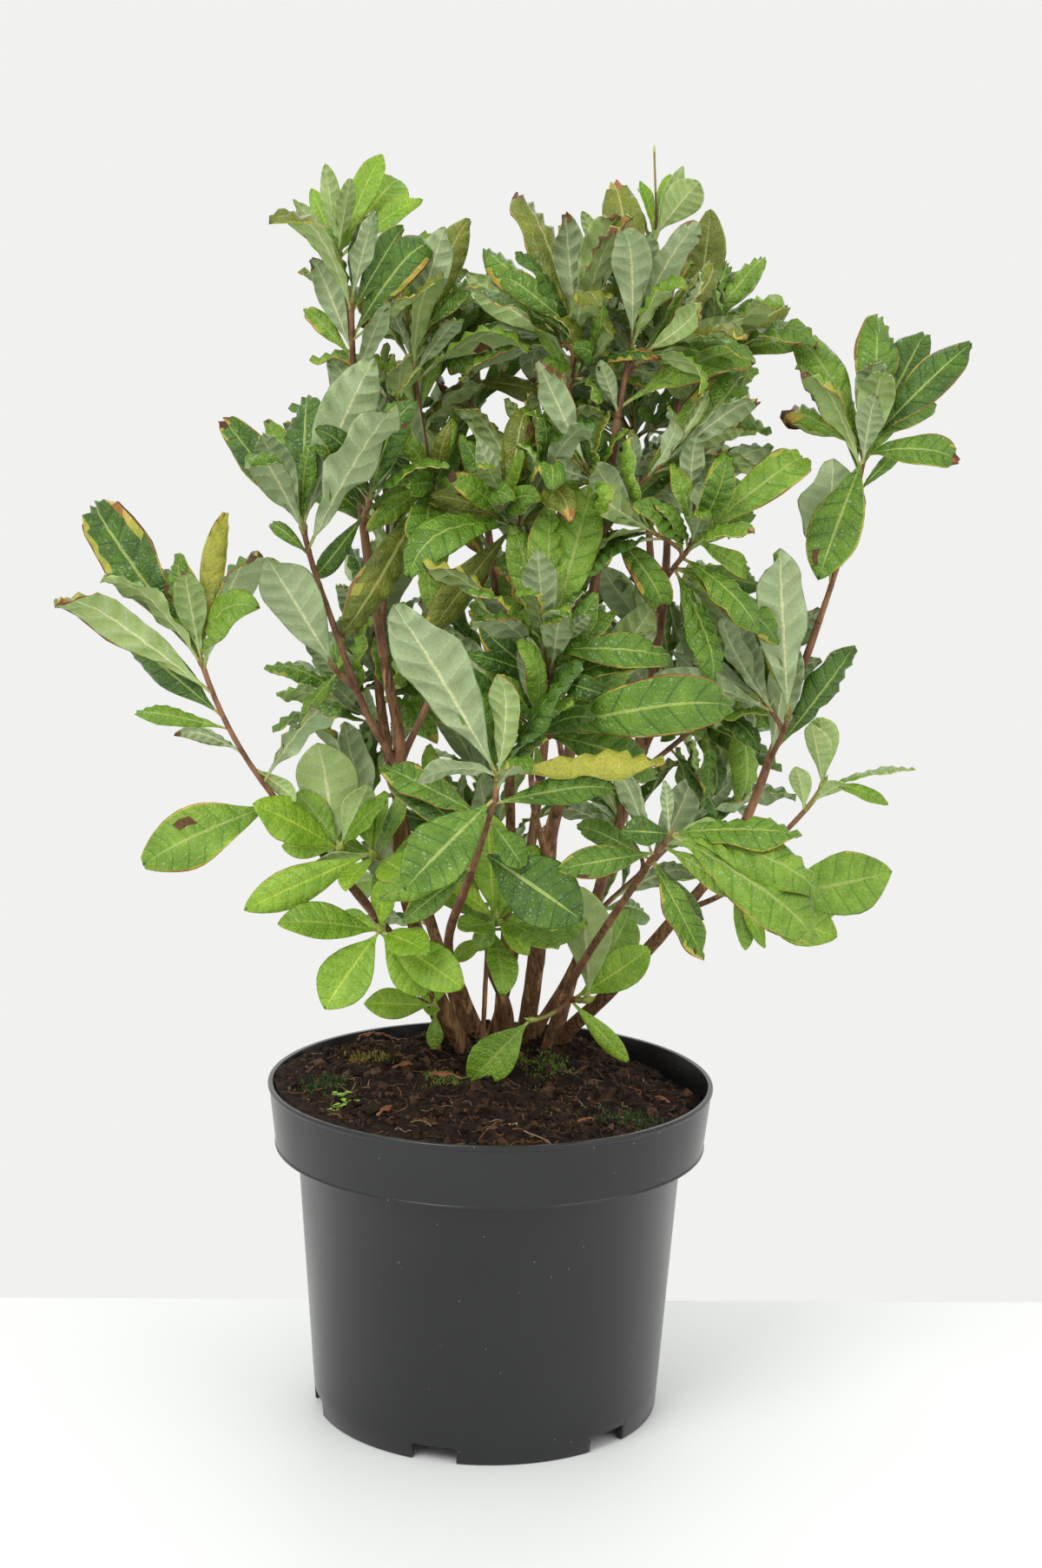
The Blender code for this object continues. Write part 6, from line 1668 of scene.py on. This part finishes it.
def thread(rng, point, reach, radius, slot, steps=5, rise=0.15):
    """A root thread or a straw: a thin three-sided tube that wanders over the soil."""
    heading = rng.uniform(0, 360)
    path = [point + UP * radius]
    for _ in range(steps):
        heading += rng.gauss(0, FIBRE_WANDER)
        ahead = path[-1] + direction(heading, 0) * (reach / steps)
        if Vector((ahead.x, ahead.y)).length > FIBRE_LIMIT:
            heading += FIBRE_TURN
            ahead = path[-1] + direction(heading, 0) * (reach / steps)
        ahead.z = soil_surface(ahead) + radius + abs(rng.gauss(0, rise)) * reach / steps
        path.append(ahead)
    points, faces = plain_tube(path, radius, 3)
    faces += [(2, 1, 0), tuple(len(points) - 3 + i for i in range(3))]
    return points, faces, [slot] * len(faces)


def blade(base, tip, width, slot, normal=UP):
    """A small flat leaf, four corners on each side, widest at its middle."""
    along = tip - base
    thick, widest, arch = SMALL_LEAF
    side = along.cross(normal).normalized() * width / 2
    low = normal * width * thick
    middle = base + along * widest + normal * width * arch
    points = [base, middle - side, tip, middle + side, base - low, middle - side - low, tip - low,
              middle + side - low]
    faces = [(0, 3, 2, 1), (4, 5, 6, 7)] + [(i, (i + 1) % 4, 4 + (i + 1) % 4, 4 + i) for i in range(4)]
    return points, faces, [slot] * len(faces)


def dead_leaf(base, heading, rise, length, seed):
    """A whole dead leaf, curled and rolled, with its upper side in the first slot and its underside in the
    second.
    """
    chord = direction(heading, rise)
    leaf = make_leaf(base, UP, chord, length, MATURE, DEAD_BEND, DEAD_FOLD, "", seed)
    traits = leaf_traits(leaf)
    traits.update(roll=math.radians(DEAD_ROLL), curl=math.radians(DEAD_CURL), wave=DEAD_WAVE)
    faces, places = leaf_faces()
    return leaf_points(leaf, traits), faces, [0 if side == 0 else 1 for side, _, _ in places]


def moss_tuft(rng, centre):
    """A tuft of moss: short blades that stand out every way."""
    blades = []
    for _ in range(MOSS_BLADES):
        foot = centre + Vector((rng.gauss(0, MOSS_SPREAD), rng.gauss(0, MOSS_SPREAD), 0))
        start = on_soil(foot.x, foot.y, -MOSS_SUNK)
        tip = start + direction(rng.uniform(0, 360), rng.uniform(*MOSS_RISES)) * rng.uniform(*MOSS_LENGTHS)
        facing = direction(rng.uniform(0, 360), MOSS_FACING)
        blades.append(blade(start, tip, rng.uniform(*MOSS_WIDTHS), rng.choice(MOSS_KINDS), facing))
    return blades


def seedling(rng, x, y):
    """A seedling: a few round leaves on short stalks."""
    root = on_soil(x, y)
    leaf_width, stalk_width = SEEDLING_WIDTHS
    leaves = []
    for _ in range(SEEDLING_LEAVES):
        out = direction(rng.uniform(0, 360), rng.uniform(*SEEDLING_RISES))
        base = root + out * rng.uniform(*SEEDLING_REACH)
        flat = direction(rng.uniform(0, 360), rng.uniform(*SEEDLING_SPREAD))
        leaves.append(blade(base, base + flat * rng.uniform(*SEEDLING_LENGTHS), leaf_width, 0))
        leaves.append(blade(root, base, stalk_width, 1, direction(rng.uniform(0, 360), 0)))
    return leaves


def litter():
    """What lies on the peat: crumbs, root threads, dead leaves, moss and seedlings."""
    rng = random.Random("litter")
    crumbs = []
    least, more = CRUMB_SIZES
    for _ in range(CRUMBS):
        size = least + more * rng.random() ** 3
        spot = spot_on_soil(rng, CRUMB_REACH - size * 2)
        crumbs.append(lump(rng, spot, size, rng.choice(CRUMB_KINDS)))
    threads = []
    least, more = FIBRE_LENGTHS
    for _ in range(FIBRES):
        reach = least + more * rng.random() ** 2
        width = rng.uniform(*FIBRE_RADII)
        spot = spot_on_soil(rng, FIBRE_REACH)
        threads.append(thread(rng, spot, reach, width, rng.choice(FIBRE_KINDS)))
    threads.append(thread(rng, on_soil(*STRAW), STRAW_LENGTH, STRAW_RADIUS, 4, STRAW_STEPS, STRAW_RISE))
    moss = {"gold": [], "green": [], "dark": []}
    for x, y, reach, kind in MOSS_PATCHES:
        for _ in range(MOSS_TUFTS):
            centre = Vector((rng.gauss(x, reach / 2), rng.gauss(y, reach / 2), 0))
            moss[kind] += moss_tuft(rng, centre)
    seedlings = [leaf for x, y in SEEDLINGS for leaf in seedling(rng, x, y)]
    fallen = [dead_leaf(*CAUGHT, "caught")]
    for i, (x, y, heading, length) in enumerate(FALLEN):
        base = on_soil(x, y, FALLEN_LIFT)
        fallen.append(dead_leaf(base, heading, FALLEN_RISE, length, f"fallen {i}"))
    knob = [lump(rng, on_soil(*KNOB) + KNOB_STEP * i, KNOB_SIZE - abs(i) * KNOB_TAPER, 0)
            for i in (-2, -1, 0, 1, 2)]
    finishes = {
        "soil_crumbs": (crumbs, [peat_finish("dark_crumb", "#1b130e", "#3a291d", 2.0),
                                 peat_finish("brown_crumb", "#35251a", "#58402b", 2.0),
                                 litter_finish("bark_crumb", "#3d2a1d", "#5c4230")]),
        "root_threads": (threads, [litter_finish("root_brown", "#54402d", "#705640"),
                                   litter_finish("root_dark", "#32241b", "#493628"),
                                   litter_finish("root_pale", "#7f6d50", "#978462"),
                                   litter_finish("needle_rust", "#7a4526", "#8c5834"),
                                   litter_finish("straw", "#b3a264", "#c6b67c")]),
        "moss_gold": (moss["gold"], [litter_finish("moss_gold_green", "#77752f", "#8e8a3e"),
                                     litter_finish("moss_gold_brown", "#6a5a2c", "#7f6c38")]),
        "moss_green": (moss["green"], [litter_finish("moss_bright", "#55702c", "#6f8a3c"),
                                       litter_finish("moss_olive", "#4c5228", "#646434")]),
        "moss_dark": (moss["dark"], [litter_finish("moss_dark_green", "#2f4a26", "#446032"),
                                     litter_finish("moss_shaded", "#33361f", "#4a4a2c")]),
        "seedlings": (seedlings, [litter_finish("seedling_leaf", "#79a33a", "#90b64e", 0.5),
                                  litter_finish("seedling_stalk", "#93a552", "#a3b060", 0.6)]),
        "fallen_leaves": (fallen, [litter_finish("dead_leaf_upper", "#6e4329", "#8a5836", 0.7, 160.0),
                                   litter_finish("dead_leaf_under", "#84644a", "#9a7a5a", 0.8, 160.0)]),
        "root_stub": (knob, [litter_finish("old_root", "#553d2a", "#7a5c40", 0.85, 220.0)]),
    }
    for name, (shapes, skins) in finishes.items():
        stand_for(joined(name, shapes, skins, smooth=name == "fallen_leaves"), "soil", "soil")


# The studio

def build_floor():
    """A plain pale table top that ends behind the plant, as in front of a far wall."""
    bpy.ops.object.select_all(action="DESELECT")
    bpy.ops.mesh.primitive_plane_add(size=1)
    floor = bpy.context.object
    floor.name = "floor"
    floor.scale = (FLOOR_SIZE, FLOOR_SIZE, 1)
    floor.location.y = FLOOR_END - FLOOR_SIZE / 2
    bpy.ops.object.transform_apply(location=True, rotation=True, scale=True)
    floor.data.materials.append(studio_finish())


def add_light(name, place, size, power):
    """A square soft box that faces the plant."""
    light = bpy.data.lights.new(name, "AREA")
    light.shape, light.size, light.energy = "SQUARE", size, power
    box = bpy.data.objects.new(name, light)
    box.location = place
    box.rotation_euler = (UP * LIT_HEIGHT - box.location).to_track_quat("-Z", "Y").to_euler()
    bpy.context.scene.collection.objects.link(box)


def light_studio():
    """A pale, even world and three soft boxes."""
    world = bpy.data.worlds.new("studio")
    bpy.context.scene.world = world
    world.use_nodes = True
    backdrop = world.node_tree.nodes["Background"]
    backdrop.inputs["Color"].default_value = linear("#f1f1ef")
    backdrop.inputs["Strength"].default_value = 1.0
    bpy.context.scene.view_settings.view_transform = "Standard"
    for light in LIGHTS:
        add_light(*light)


def place_camera():
    """The camera where the photographer's stood, pitched down and very slightly rolled."""
    pitch, roll, yaw = (math.radians(a) for a in CAMERA_TURNS)
    ahead = Vector((math.sin(yaw) * math.cos(pitch), math.cos(yaw) * math.cos(pitch), -math.sin(pitch)))
    level = Vector((math.cos(yaw), -math.sin(yaw), 0))
    down = ahead.cross(level)
    right = level * math.cos(roll) + down * math.sin(roll)
    down = down * math.cos(roll) - level * math.sin(roll)
    lens = bpy.data.cameras.new("camera")
    lens.sensor_width, lens.lens = FRAME_HEIGHT, CAMERA_LENS
    camera = bpy.data.objects.new("camera", lens)
    turn = Matrix((right, -down, -ahead)).transposed().to_4x4()
    camera.matrix_world = Matrix.Translation(CAMERA_PLACE) @ turn
    bpy.context.scene.collection.objects.link(camera)
    bpy.context.scene.camera = camera


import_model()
place_camera()
build_pot()
build_soil()
litter()
grow_plant()
build_floor()
light_studio()
